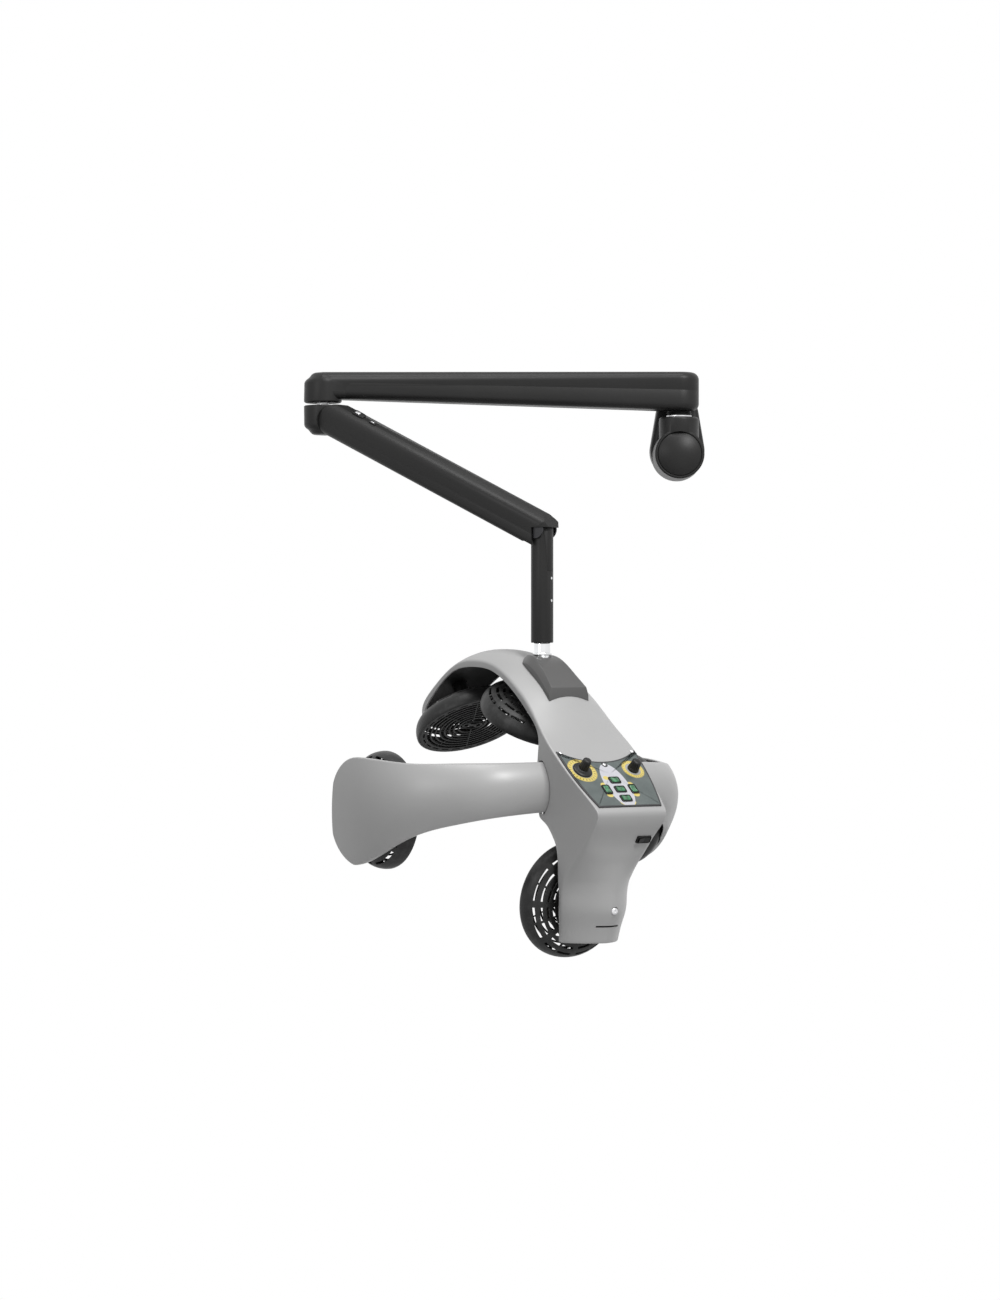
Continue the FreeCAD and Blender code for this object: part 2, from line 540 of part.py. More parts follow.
def lower_crown(inset):
    """Arched cross-section carried along the arm, which rounds the top more than the foot."""
    w, h = LOWER_W / 2 - inset, LOWER_H / 2 - inset
    top, foot = LOWER_ROUND + 5.0 - inset, LOWER_ROUND - 5.0 - inset
    k = math.sin(math.pi / 4)
    x = -80.0
    edges = [
        Part.makeLine(Vector(x, -w, -h + foot), Vector(x, -w, h - top)),
        Part.Arc(Vector(x, -w, h - top), Vector(x, -w + top - top * k, h - top + top * k),
                 Vector(x, -w + top, h)).toShape(),
        Part.makeLine(Vector(x, -w + top, h), Vector(x, w - top, h)),
        Part.Arc(Vector(x, w - top, h), Vector(x, w - top + top * k, h - top + top * k),
                 Vector(x, w, h - top)).toShape(),
        Part.makeLine(Vector(x, w, h - top), Vector(x, w, -h + foot)),
        Part.Arc(Vector(x, w, -h + foot), Vector(x, w - foot + foot * k, -h + foot - foot * k),
                 Vector(x, w - foot, -h)).toShape(),
        Part.makeLine(Vector(x, w - foot, -h), Vector(x, -w + foot, -h)),
        Part.Arc(Vector(x, -w + foot, -h), Vector(x, -w + foot - foot * k, -h + foot - foot * k),
                 Vector(x, -w, -h + foot)).toShape(),
    ]
    return Part.Face(Part.Wire(edges)).extrude(Vector(LOWER_LEN + 200, 0, 0))


def sleeve_clearance():
    """Space under the hood in which the drop sleeve swings."""
    dip = math.radians(LOWER_DIP)
    down = Vector(math.sin(dip), 0, -math.cos(dip))
    out = Vector(math.cos(dip), 0, math.sin(dip))
    pivot = Vector(LOWER_LEN, 0, 0)
    corner = pivot - out * 4.0 - down * HOOD_CUT_UP
    points = [corner, corner + down * 90, corner + down * 90 + out * 90, corner + out * 90]
    face = polygon([(p.x, -60, p.z) for p in points])
    floor = box(LOWER_LEN - HOOD_CUT_BACK, LOWER_LEN + 90, -LOWER_W / 2 + WALL,
                LOWER_W / 2 - WALL, -60, -LOWER_H / 2 + 16)
    return union([face.extrude(Vector(0, 120, 0)), floor])


def lower_arm_shells():
    """Upper and lower casings of the second arm."""
    shell = lower_body(0).cut(lower_body(WALL))
    slot = TONGUE_W / 2 + 1.5
    shell = shell.cut(box(-40, 0.1, -slot, slot, -LOWER_H, 23))
    shell = shell.cut(sleeve_clearance())
    half = POCKET_W / 2
    floor = LOWER_H / 2 - POCKET_DEEP
    pocket = box(POCKET_AT, POCKET_AT + POCKET_LEN, -half, half, floor, 60)
    tub = box(POCKET_AT - 1.5, POCKET_AT + POCKET_LEN + 1.5, -half - 1.5, half + 1.5,
              floor - 1.5, LOWER_H / 2 - WALL + 0.5)
    shell = union([shell, tub]).cut(pocket)
    below = box(-60, LOWER_LEN + 90, -60, 60, -60, LOWER_SEAM)
    return shell.cut(below), shell.common(below)


def lower_arm_beam():
    """Two steel side plates joined by a web, with a pivot eye at each end."""
    plates = []
    for side in (-1, 1):
        y0 = side * SIDE_PLATE_AT
        y1 = side * (SIDE_PLATE_AT + SIDE_PLATE_T)
        plate = box(-SIDE_PLATE_R, LOWER_LEN + SIDE_PLATE_R, min(y0, y1), max(y0, y1),
                    -SIDE_PLATE_R, SIDE_PLATE_R)
        plates.append(rounded(plate, SIDE_PLATE_R - 0.5,
                              lambda e: e.BoundBox.YLength > SIDE_PLATE_T - 0.1
                              and e.BoundBox.DiagonalLength < SIDE_PLATE_T + 0.1))
    reach = SIDE_PLATE_AT + SIDE_PLATE_T
    web = box(45, LOWER_LEN - 55, -reach, reach, -SIDE_PLATE_R - 3, -SIDE_PLATE_R)
    anchors = [box(x - 3, x + 3, -SIDE_PLATE_AT - 1, SIDE_PLATE_AT + 1, -8, 0)
               for x in (60, 60 + SPRING_LEN + 16)]
    beam = union(plates + [web] + anchors)
    for x in (0, LOWER_LEN):
        beam = beam.cut(rod(CROSS_PIN_R + RUN_FIT, (x, -60, 0), (x, 60, 0)))
    return beam


def balance_spring():
    """Close-wound balance spring between its two cross anchors, as a wound tube."""
    x0 = 60 + 4
    x1 = 60 + SPRING_LEN + 12
    coil = rod(SPRING_R, (x0, 0, -4), (x1, 0, -4))
    return coil.cut(rod(SPRING_R - 2.5, (x0 + 4, 0, -4), (x1 - 4, 0, -4)))


def tension_screw():
    """Hexagon-socket spring adjuster that shows in the pocket near the elbow."""
    z = LOWER_H / 2 - POCKET_DEEP
    x = POCKET_AT + POCKET_LEN / 2
    head = rod(6.0, (x, 0, z), (x, 0, z + 6.5))
    hexagon = Part.makePolygon([Vector(x + 3 * math.cos(a), 3 * math.sin(a), z + 2.5)
                                for a in [math.radians(60 * k) for k in range(7)]])
    return head.cut(Part.Face(hexagon).extrude(Vector(0, 0, 9)))


def levelling_rod():
    """Rod parallel to the arm that keeps the sleeve upright, with an eye at each end."""
    start = TILT_FRAME.inverse().multVec(
        ELBOW_FRAME.multVec(Vector(TILT_OUT, 0, TILT_Z + LEVEL_LIFT)))
    end = start + Vector(LOWER_LEN, 0, 0)
    y0, y1 = ROD_AT - EYE_W / 2, ROD_AT + EYE_W / 2
    bar = box(start.x + STUD_R + 1, end.x - STUD_R - 1, y0 + 1, y1 - 1,
              start.z - ROD_R / 2, start.z + ROD_R / 2)
    eyes = [rod(EYE_R, (p.x, y0, p.z), (p.x, y1, p.z)) for p in (start, end)]
    near = eyes[0].cut(rod(STUD_R + RUN_FIT, (start.x, -60, start.z), (start.x, 60, start.z)))
    far = eyes[1].cut(rod(STUD_R + LOOSE_FIT, (end.x, -60, end.z), (end.x, 60, end.z)))
    return union([bar, near, far])


# ================================================================ drop sleeve
def cover_slot(extra):
    """Wedge-shaped piece of the sleeve's outer wall, wide at the top."""
    z1 = SLEEVE_TOP_OVER
    z0 = z1 - COVER_LEN
    a, b = COVER_HALF_TOP + extra, COVER_HALF_FOOT + extra
    wedge = polygon([(0, -b, z0 - extra), (0, b, z0 - extra), (0, a, z1 + 1), (0, -a, z1 + 1)])
    ring = rod(SLEEVE_R, (0, 0, z0 - 1), (0, 0, z1))
    core = rod(SLEEVE_R - COVER_T, (0, 0, z0 - 9), (0, 0, z1 + 9))
    return wedge.extrude(Vector(40, 0, 0)).common(ring).cut(core)


def sleeve_z(z):
    """Height in the sleeve's own frame of a height above the origin."""
    return z - SLEEVE_PIVOT.z


def drop_sleeve():
    """Moulded sleeve hanging from the arm, bored from below for the stem."""
    foot = sleeve_z(SLEEVE_BOTTOM)
    body = rod(SLEEVE_R, (0, 0, foot), (0, 0, SLEEVE_TOP_OVER))
    body = body.makeChamfer(1.0, [e for e in body.Edges if is_level(e, foot)])
    # above the pivot only a slim tongue is left, beside the levelling rod
    half = TONGUE_W / 2
    flats = box(-60, 60, half, 60, -9, 60)
    body = body.cut(flats)
    lug = union([
        rod(EYE_R, (0, -half, LEVEL_LIFT), (0, half, LEVEL_LIFT)),
        box(-EYE_R, EYE_R, -half, half, 0, LEVEL_LIFT),
    ])
    stud = rod(STUD_R, (0, half - 1, LEVEL_LIFT), (0, ROD_AT + EYE_W / 2, LEVEL_LIFT))
    body = union([body, lug, stud])
    body = body.cut(rod(CROSS_PIN_R, (0, -60, 0), (0, 60, 0)))
    body = body.cut(rod(SLEEVE_BORE_R, (0, 0, foot - 1), (0, 0, sleeve_z(SLEEVE_BORE_TOP))))
    body = body.cut(cover_slot(0.2))
    for z in SLEEVE_SCREWS_Z:
        body = body.cut(rod(2.0, (SLEEVE_BORE_R - 1, 0, sleeve_z(z)), (60, 0, sleeve_z(z))))
    return body


def sleeve_cover():
    """Wedge cover over the wiring slot in the sleeve's outer side."""
    return cover_slot(0.0)


def sleeve_screws():
    """Two small set screws below the cover."""
    return [rod(2.0, (SLEEVE_BORE_R, 0, sleeve_z(z)), (SLEEVE_R + 0.3, 0, sleeve_z(z)))
            for z in SLEEVE_SCREWS_Z]


def sleeve_bush():
    """Plastic bush in the sleeve's mouth, in which the stem turns."""
    z0 = sleeve_z(SLEEVE_BOTTOM) + 1
    ring = rod(SLEEVE_BORE_R, (0, 0, z0), (0, 0, z0 + SLEEVE_BUSH_LEN))
    return ring.cut(rod(STEM_R + RUN_FIT, (0, 0, z0 - 1), (0, 0, z0 + SLEEVE_BUSH_LEN + 1)))


# ================================================================ head: spine
def outward_of(station):
    """Unit vector from a station's inner edge to its outer edge."""
    (y, z), (inner_y, inner_z) = station[0], station[3]
    direction = Vector(0, y - inner_y, z - inner_z)
    direction.normalize()
    return direction


def section_points(station, inset, reach):
    """Outer edge, inner edge, their half widths as vectors, and the way out."""
    (y, z), half, (inner_y, inner_z), inner_half = station[0], station[2], station[3], station[4]
    outward = outward_of(station)
    edge = Vector(0, y, z) - outward * inset
    inner = Vector(0, inner_y, inner_z) - outward * reach
    return edge, inner, Vector(half - inset, 0, 0), Vector(inner_half - inset, 0, 0), outward


def closed_section(front, edge, inner, side, inner_side):
    """Wire of two sides and a flat inner line round a given front curve."""
    return Part.Wire([
        Part.makeLine(inner - inner_side, edge - side),
        front,
        Part.makeLine(edge + side, inner + inner_side),
        Part.makeLine(inner + inner_side, inner - inner_side),
    ])


def spine_section(station, inset, reach):
    """D-shaped section with a crowned outer arc."""
    edge, inner, side, inner_side, outward = section_points(station, inset, reach)
    middle = edge + outward * station[1]
    front = Part.Arc(edge - side, middle, edge + side).toShape()
    return closed_section(front, edge, inner, side, inner_side)


def column_section(station, inset, reach):
    """Section whose front swells squarely near the ledge and roundly lower down."""
    edge, inner, side, inner_side, outward = section_points(station, inset, reach)
    crown, power = station[1], station[5]
    points = []
    for share in (-1.0, -0.95, -0.8, -0.45, 0.0, 0.45, 0.8, 0.95, 1.0):
        swell = (1 - abs(share) ** power) ** (1 / power) * (1 - RIDGE_SHARE)
        swell += (1 - abs(share)) * RIDGE_SHARE
        points.append(edge + side * share + outward * (crown * swell))
    curve = Part.BSplineCurve()
    curve.interpolate(points)
    return closed_section(curve.toShape(), edge, inner, side, inner_side)


def spine_form(inset, reach):
    """Solid form of the arch and of the box under the panel."""
    return Part.makeLoft([spine_section(s, inset, reach) for s in SPINE], True, False)


def column_form(inset, reach):
    """Solid form of the column under the ledge."""
    return Part.makeLoft([column_section(s, inset, reach) for s in COLUMN], True, False)


def liner_section(station, depth, side_gap, thickness, rise_share):
    """Thin crescent between two arcs, let in between the shell's side walls."""
    crown, (inner_y, inner_z), inner_half = station[1], station[3], station[4]
    outward = outward_of(station)
    side = Vector(inner_half - WALL - side_gap, 0, 0)
    low = Vector(0, inner_y, inner_z) + outward * depth
    high = low + outward * thickness
    rise = outward * rise_share * crown
    slope = side * 0.6
    return Part.makePolygon([
        low - side, low - slope + rise, low + slope + rise, low + side,
        high + side, high + slope + rise, high - slope + rise, high - side, low - side,
    ])


def liner_form(depth, side_gap, thickness):
    """The liner along the arch, hollow, and along the box behind the neck, flat."""
    arch = SPINE[:ARCH_STATIONS]
    back = SPINE[ARCH_STATIONS:] + COLUMN[1:]
    arch_part = Part.makeLoft(
        [liner_section(s, depth, side_gap, thickness, LINER_RISE) for s in arch], True, False)
    first = liner_section(arch[-1], depth, side_gap, thickness, LINER_RISE)
    rest = [liner_section(s, depth, side_gap, thickness, 0) for s in back]
    return union([arch_part, Part.makeLoft([first] + rest, True, True)])


def inner_limits():
    """Room inside the spine's closed tip and foot."""
    foot = COLUMN[-1][0][1]
    return box(-120, 120, -300, TIP_LIMIT, foot + FOOT_FLOOR, -300)


def panel_frame():
    """Frame on the panel's seat: X across, Y up the slope, Z out of the panel."""
    across = Vector(1, 0, 0)
    up = Vector(0, PANEL_TOP[0] - PANEL_FOOT[0], PANEL_TOP[1] - PANEL_FOOT[1])
    up.normalize()
    out = across.cross(up)
    return Placement(Vector(0, *PANEL_TOP), Rotation(across, up, out, "ZXY"))


def panel_outline(grow):
    """Plate outline: arched top edge, bowed sides and a straight foot."""
    top, foot = PANEL_HALF_TOP + grow, PANEL_HALF_FOOT + grow
    length = math.hypot(PANEL_TOP[0] - PANEL_FOOT[0], PANEL_TOP[1] - PANEL_FOOT[1]) + grow
    bow = (top + foot) / 2 + PANEL_SIDE_BOW
    tl, tr = Vector(-top, grow, 0), Vector(top, grow, 0)
    fl, fr = Vector(-foot, -length, 0), Vector(foot, -length, 0)
    return Part.Face(Part.Wire([
        Part.Arc(tl, Vector(0, grow - PANEL_TOP_DIP, 0), tr).toShape(),
        Part.Arc(tr, Vector(bow, -length / 2, 0), fr).toShape(),
        Part.makeLine(fr, fl),
        Part.Arc(fl, Vector(-bow, -length / 2, 0), tl).toShape(),
    ]))


def on_panel(shape):
    """Carry a shape from the panel's frame to the head's frame."""
    return at(shape, panel_frame())


def rocker_cut(x, down, turned, length, width, z0, z1):
    """Rectangular block for a rocker, its bezel or its hole."""
    if turned:
        length, width = width, length
    return box(x - length / 2, x + length / 2, -down - width / 2, -down + width / 2, z0, z1)


def switch_frame():
    """Frame of the mains switch under the ledge: Z out of the surface."""
    turn = Rotation(Vector(0, 0, 1), SWITCH_TURN).multiply(
        Rotation(Vector(1, 0, 0), 90 + SWITCH_LEAN))
    return Placement(Vector(*SWITCH_AT), turn)


def with_arm_openings(shape):
    """The shape without the two holes for the side arms' roots, over their whole swing."""
    z_top, z_foot = ARM_STATIONS[0][2] + 4, ARM_STATIONS[0][3] - 4
    for side in (-1, 1):
        root = arm_form(-ARM_ROOM, 3.0, side)
        near = box(-110, 110, -150, -60, z_foot, z_top)
        for angle in ARM_SWINGS:
            turned = root.common(near)
            turned.rotate(Vector(side * HINGE[0], HINGE[1], 0), Vector(0, 0, 1), -side * angle)
            shape = shape.cut(turned.common(box(-90, 90, -140, -80, z_foot, z_top)))
    return shape


def spine_shell():
    """The head's moulded backbone over the ledge, open on the client's side."""
    outer = spine_form(0, 0)
    inner = spine_form(WALL, 12.0).common(inner_limits())
    shell = outer.cut(inner)
    shell = shell.cut(on_panel(panel_outline(GAP).extrude(Vector(0, 0, 30))))
    for x in (-DIAL_X, DIAL_X):
        shell = shell.cut(on_panel(rod(KNOB_SHAFT_R + 1.5, (x, -DIAL_DOWN, -20),
                                       (x, -DIAL_DOWN, 20))))
    for name, x, down, turned in ROCKERS:
        shell = shell.cut(on_panel(rocker_cut(x, down, turned, ROCKER_L + 1.5, ROCKER_W + 1.5,
                                              -20, 20)))
    shell = shell.cut(rod(STEM_HOLE_R, (0, 0, -420), (0, 0, -330)))
    return with_arm_openings(shell)


def column_shell():
    """Moulded column under the ledge, closed at its foot and open towards the neck."""
    nose = -300.0
    shell = column_form(0, 0).cut(column_form(WALL, 12.0).common(inner_limits()))
    half_l, half_w = SWITCH_L / 2 + SWITCH_RIM + GAP, SWITCH_W / 2 + SWITCH_RIM + GAP
    shell = shell.cut(at(box(-half_l, half_l, -half_w, half_w, -14, 20), switch_frame()))
    shell = shell.cut(rod(NAPE_RECESS_R, (0, nose, NAPE_SCREW_Z),
                          (0, NAPE_FACE + NAPE_RECESS_DEEP, NAPE_SCREW_Z)))
    shell = shell.cut(rod(NAPE_SCREW_R, (0, nose, NAPE_SCREW_Z), (0, -150, NAPE_SCREW_Z)))
    shell = shell.cut(box(-SLOT_HALF, SLOT_HALF, nose, -150, SLOT_Z - SLOT_H / 2,
                          SLOT_Z + SLOT_H / 2))
    return with_arm_openings(shell)


def hinge_block(side):
    """Post on the liner whose two lugs hold a side arm's hinge pin."""
    x, y = HINGE
    mid = (ARM_STATIONS[0][2] + ARM_STATIONS[0][3]) / 2
    z0, z1 = HINGE_EYE_H / 2 + GAP, HINGE_EYE_H / 2 + HINGE_LUG_T
    block = box(x - 18, x - 9, y - 7, HINGE_BLOCK_BACK, mid - z1, mid + z1)
    lugs = [box(x - 10, x + 4, y - 5.5, y + 5.5, mid + a, mid + b)
            for a, b in ((z0, z1), (-z1, -z0))]
    body = union([block] + lugs)
    body = body.cut(rod(HINGE_PIN_R, (x, y, mid - z1 - 1), (x, y, mid + z1 + 1)))
    return body if side > 0 else body.mirror(Vector(0, 0, 0), Vector(1, 0, 0))


def spine_liner():
    """Dark liner that closes the spine on the client's side, and its two hinge posts."""
    plate = liner_form(0.8, 1.0, THIN_WALL).common(inner_limits())
    z_top, z_foot = ARM_STATIONS[0][2] + 4, ARM_STATIONS[0][3] - 4
    notch = LINER_NOTCH_FROM
    plate = plate.cut(box(notch, 110, -140, -70, z_foot, z_top))
    plate = plate.cut(box(-110, -notch, -140, -70, z_foot, z_top))
    posts = [hinge_block(side).cut(plate) for side in (-1, 1)]
    return [plate] + [max(post.Solids, key=lambda solid: solid.Volume) for post in posts]


def control_panel():
    """Flat control plate let into the spine above the ledge."""
    plate = panel_outline(0).extrude(Vector(0, 0, PANEL_T))
    for x in (-DIAL_X, DIAL_X):
        plate = plate.cut(rod(KNOB_SHAFT_R + 0.5, (x, -DIAL_DOWN, -1), (x, -DIAL_DOWN, 9)))
    for name, x, down, turned in ROCKERS:
        plate = plate.cut(rocker_cut(x, down, turned, ROCKER_L + 1.5, ROCKER_W + 1, -1, 9))
    return on_panel(plate)


def knob(radius, height):
    """Turning knob: skirt, tapered grip with a finger bar, and its shaft."""
    skirt = Part.makeCone(radius, radius - 1.5, 4 - GAP, Vector(0, 0, PANEL_T + GAP))
    grip = Part.makeCone(radius * 0.62, radius * 0.52, height - 4, Vector(0, 0, PANEL_T + 4))
    bar = box(-radius * 0.2, radius * 0.2, -radius * 0.5, radius * 0.62,
              PANEL_T + 4, PANEL_T + height + 1.5)
    shaft = rod(KNOB_SHAFT_R, (0, 0, -9), (0, 0, PANEL_T + 4))
    return union([skirt, grip, bar, shaft])


def placed_knob(x, radius, height, turn):
    """A knob on its shaft in the panel."""
    spin = Placement(Vector(x, -DIAL_DOWN, 0), Rotation(Vector(0, 0, 1), turn))
    return on_panel(at(knob(radius, height), spin))


def rocker_blade(length, width, proud):
    """Rocker key with two slopes that meet over its pivot, on two short trunnions."""
    half = length / 2
    side = polygon([
        (-half, -width / 2, proud + 1.4), (0, -width / 2, proud - 0.6),
        (half, -width / 2, proud - 0.2), (half - 1, -width / 2, -2.0),
        (0, -width / 2, -ROCKER_DEEP + 2), (-half + 1, -width / 2, -2.0),
    ])
    reach = width / 2 + TRUNNION_OUT
    pivot = rod(TRUNNION_R, (0, -reach, 0), (0, reach, 0))
    return union([side.extrude(Vector(0, width, 0)), pivot])


def bezel(length, width, hole_l, hole_w, proud, z0):
    """Rectangular frame round a rocker."""
    frame = box(-length / 2, length / 2, -width / 2, width / 2, z0, z0 + proud)
    return frame.cut(box(-hole_l / 2, hole_l / 2, -hole_w / 2, hole_w / 2, z0 - 1, z0 + 9))


def rocker_place(x, down, turned):
    """Where a rocker sits on the panel."""
    return Placement(Vector(x, -down, PANEL_T), Rotation(Vector(0, 0, 1), 90 if turned else 0))


def switch_bezels():
    """The six switch frames: five on the panel and one round the mains switch."""
    frames = [on_panel(at(bezel(BEZEL_L, BEZEL_W, ROCKER_L + 1.4, ROCKER_W + 0.8,
                                BEZEL_PROUD, 0), rocker_place(x, down, turned)))
              for name, x, down, turned in ROCKERS]
    rim = 2 * SWITCH_RIM
    frames.append(at(bezel(SWITCH_L + rim, SWITCH_W + rim, SWITCH_L + 0.8, SWITCH_W + 0.8,
                           6.0, -3.0), switch_frame()))
    return frames


def head_screws():
    """Panel screws and the neck screw."""
    shapes = []
    for x, down in ((-PANEL_HALF_TOP + 6, 3.5), (PANEL_HALF_TOP - 6, 3.5), (0, 30.5)):
        shapes.append(on_panel(rod(PANEL_SCREW_R, (x, -down, PANEL_T), (x, -down, PANEL_T + 1.0))))
    shapes.append(rod(5.0, (0, NAPE_FACE - 0.8, NAPE_SCREW_Z),
                      (0, NAPE_FACE + NAPE_RECESS_DEEP, NAPE_SCREW_Z)))
    return shapes


def circuit_board():
    """Control board behind the panel, on its spacers."""
    board = box(-48, 48, -112, -34, -11.6, -10)
    posts = [box(x - 3, x + 3, y - 3, y + 3, -10, 0) for x in (-42, 42) for y in (-106, -52)]
    return on_panel(union([board] + posts)).common(spine_form(WALL + 0.1, 12.0))


# ================================================================ head: stem and saddle
def stem_tube():
    """Chromed tube that carries the head, with the collar that sits on the saddle."""
    tube = rod(STEM_R, (0, 0, STEM_FOOT), (0, 0, STEM_TOP))
    collar = rod(COLLAR_R, (0, 0, SADDLE_TOP), (0, 0, SADDLE_TOP + COLLAR_T))
    bore = rod(STEM_R - STEM_WALL, (0, 0, STEM_FOOT - 1), (0, 0, STEM_TOP + 1))
    return union([tube, collar]).cut(bore)


def saddle_section(y, roof, roof_half, foot_half):
    """Upright section of the saddle: flat roof, sloping flanks and plumb sides."""
    shoulder, base = roof - SADDLE_SHOULDER, -455.0
    corners = [(-foot_half, base), (-foot_half, shoulder), (-roof_half, roof),
               (roof_half, roof), (foot_half, shoulder), (foot_half, base)]
    return Part.makePolygon([Vector(x, y, z) for x, z in corners + corners[:1]])


def saddle_cover():
    """Raised cover over the joint of stem and spine, sloping to a blunt front."""
    body = Part.makeLoft([saddle_section(*station) for station in SADDLE], True, False)
    body = body.cut(spine_form(-GAP, 40.0))
    body = body.cut(rod(STEM_R + RUN_FIT, (0, 0, -460), (0, 0, -330)))
    return max(body.Solids, key=lambda solid: solid.Volume)


# ================================================================ heaters
def heater_frame(centre, facing):
    """Frame at a heater's front: Z points back, away from the client."""
    back = Vector(*facing) * -1
    return Placement(Vector(*centre), Rotation(Vector(0, 0, 1), back))


def head_heaters():
    """Name, front centre, facing and post length of the three heaters on the spine."""
    dip, drop, lift = (math.radians(a) for a in (FOREHEAD_DIP, CROWN_DIP, NAPE_LIFT))
    return (
        ("forehead", FOREHEAD_AT, (0, -math.sin(dip), -math.cos(dip)), FOREHEAD_POST),
        ("crown", CROWN_AT, (0, math.sin(drop), -math.cos(drop)), CROWN_POST),
        ("nape", NAPE_AT, (0, math.cos(lift), math.sin(lift)), NAPE_POST),
    )


def dish(inset):
    """Solid of revolution of a heater: flat lip, round shoulder and sloping back."""
    r, lip, back = HEATER_R - inset, HEATER_LIP_R - inset, HEATER_BACK_R - inset
    deep = HEATER_DEEP - inset
    shoulder = Vector(r, 0, 9)
    return Part.Face(Part.Wire([
        Part.makeLine(Vector(0, 0, 0), Vector(lip, 0, 0)),
        Part.makeLine(Vector(lip, 0, 0), shoulder),
        Part.Arc(shoulder, Vector(r - 3, 0, deep / 2 + 4), Vector(back + 4, 0, deep - 3)).toShape(),
        Part.makeLine(Vector(back + 4, 0, deep - 3), Vector(back - 4, 0, deep)),
        Part.makeLine(Vector(back - 4, 0, deep), Vector(0, 0, deep)),
        Part.makeLine(Vector(0, 0, deep), Vector(0, 0, 0)),
    ])).revolve(Vector(0, 0, 0), Vector(0, 0, 1), 360)


def dish_hollow():
    """Plain hollow inside a heater."""
    r, back, deep = HEATER_LIP_R - THIN_WALL, HEATER_BACK_R - THIN_WALL, HEATER_DEEP - THIN_WALL
    return Part.Face(Part.makePolygon([
        Vector(0, 0, -1), Vector(r, 0, -1), Vector(HEATER_R - 5, 0, HEATER_DEEP / 2),
        Vector(back, 0, deep), Vector(0, 0, deep), Vector(0, 0, -1),
    ])).revolve(Vector(0, 0, 0), Vector(0, 0, 1), 360)


def heater_housing():
    """Round dish: lip, soft shoulder and vented back."""
    shell = dish(0).cut(dish_hollow())
    outer = rod(VENT_R + VENT_W / 2, (0, 0, HEATER_DEEP - 6), (0, 0, HEATER_DEEP + 1))
    vents = outer.cut(rod(VENT_R - VENT_W / 2, (0, 0, 0), (0, 0, HEATER_DEEP + 2)))
    vents = vents.cut(box(-90, 90, -7, 7, 0, 60)).cut(box(-7, 7, -90, 90, 0, 60))
    return shell.cut(vents)


def heater_post(length):
    """Round post from a heater's back to what carries it."""
    return rod(POST_R, (0, 0, HEATER_DEEP), (0, 0, HEATER_DEEP + length))


def heater_grille():
    """Front guard: flat rim, thin rings, spokes and a long hub."""
    rim = rod(HEATER_LIP_R - THIN_WALL - 0.2, (0, 0, 0), (0, 0, GRILLE_T))
    bars = [rim.cut(rod(GRILLE_RIM_R, (0, 0, -1), (0, 0, 9)))]
    for radius in GRILLE_RINGS:
        ring = rod(radius + RING_W / 2, (0, 0, 0), (0, 0, GRILLE_T))
        bars.append(ring.cut(rod(radius - RING_W / 2, (0, 0, -1), (0, 0, 9))))
    for k in range(SPOKES // 2):
        spoke = box(-GRILLE_RIM_R - 1, GRILLE_RIM_R + 1, -SPOKE_W / 2, SPOKE_W / 2, 0, GRILLE_T)
        bars.append(at(spoke, Placement(Vector(), Rotation(Vector(0, 0, 1), 360.0 * k / SPOKES))))
    for x in (-HUB_HALF, HUB_HALF):
        bars.append(rod(HUB_R, (x, 0, 0), (x, 0, GRILLE_T)))
    return union(bars)


def heater_element():
    """Ring-shaped infrared element on the bridge of its ceramic holder."""
    outer, inner = ELEMENT_R + ELEMENT_WIRE, ELEMENT_R - ELEMENT_WIRE
    z0, z1 = ELEMENT_DEPTH - ELEMENT_WIRE, ELEMENT_DEPTH + ELEMENT_WIRE
    ring = rod(outer, (0, 0, z0), (0, 0, z1)).cut(rod(inner, (0, 0, z0 - 1), (0, 0, z1 + 1)))
    bar = box(-inner - 1, inner + 1, -ELEMENT_WIRE, ELEMENT_WIRE, z0, z1)
    holder = box(-11, 11, -9, 9, ELEMENT_DEPTH, HEATER_DEEP - THIN_WALL)
    return union([ring, bar, holder])


def save_heater(name, frame, stalk=None):
    """Housing, guard and element of one heater; a side heater's housing has its own stalk."""
    housing = union([heater_housing(), heater_post(stalk)]) if stalk else heater_housing()
    save(name + "_heater_housing", at(housing, frame))
    save(name + "_heater_grille", at(heater_grille(), frame))
    save(name + "_heater_element", at(heater_element(), frame))


# ================================================================ side arms
def mirrored(points, side):
    """Points for the arm on the right (side 1) or on the left (side -1)."""
    return [Vector(side * p.x, p.y, p.z) for p in points]


def arm_sag(index, side):
    """How much lower than drawn a station of the left or right arm is."""
    root, end = ARM_STATIONS[0][0][0], ARM_STATIONS[-1][0][0]
    share = min((ARM_STATIONS[index][0][0] - root) / (end - root), 1.0)
    return RIGHT_ARM_SAG * share if side > 0 else 0.0


def arm_edge(index, side):
    """Edge point in plan, outward direction, top and foot of one arm station."""
    (x, y), crown, top, foot = ARM_STATIONS[index]
    sag = arm_sag(index, side)
    before = ARM_STATIONS[max(index - 1, 0)][0]
    after = ARM_STATIONS[min(index + 1, len(ARM_STATIONS) - 1)][0]
    along = Vector(after[0] - before[0], after[1] - before[1], 0)
    along.normalize()
    return Vector(x, y, 0), Vector(along.y, -along.x, 0), top - sag, foot - sag


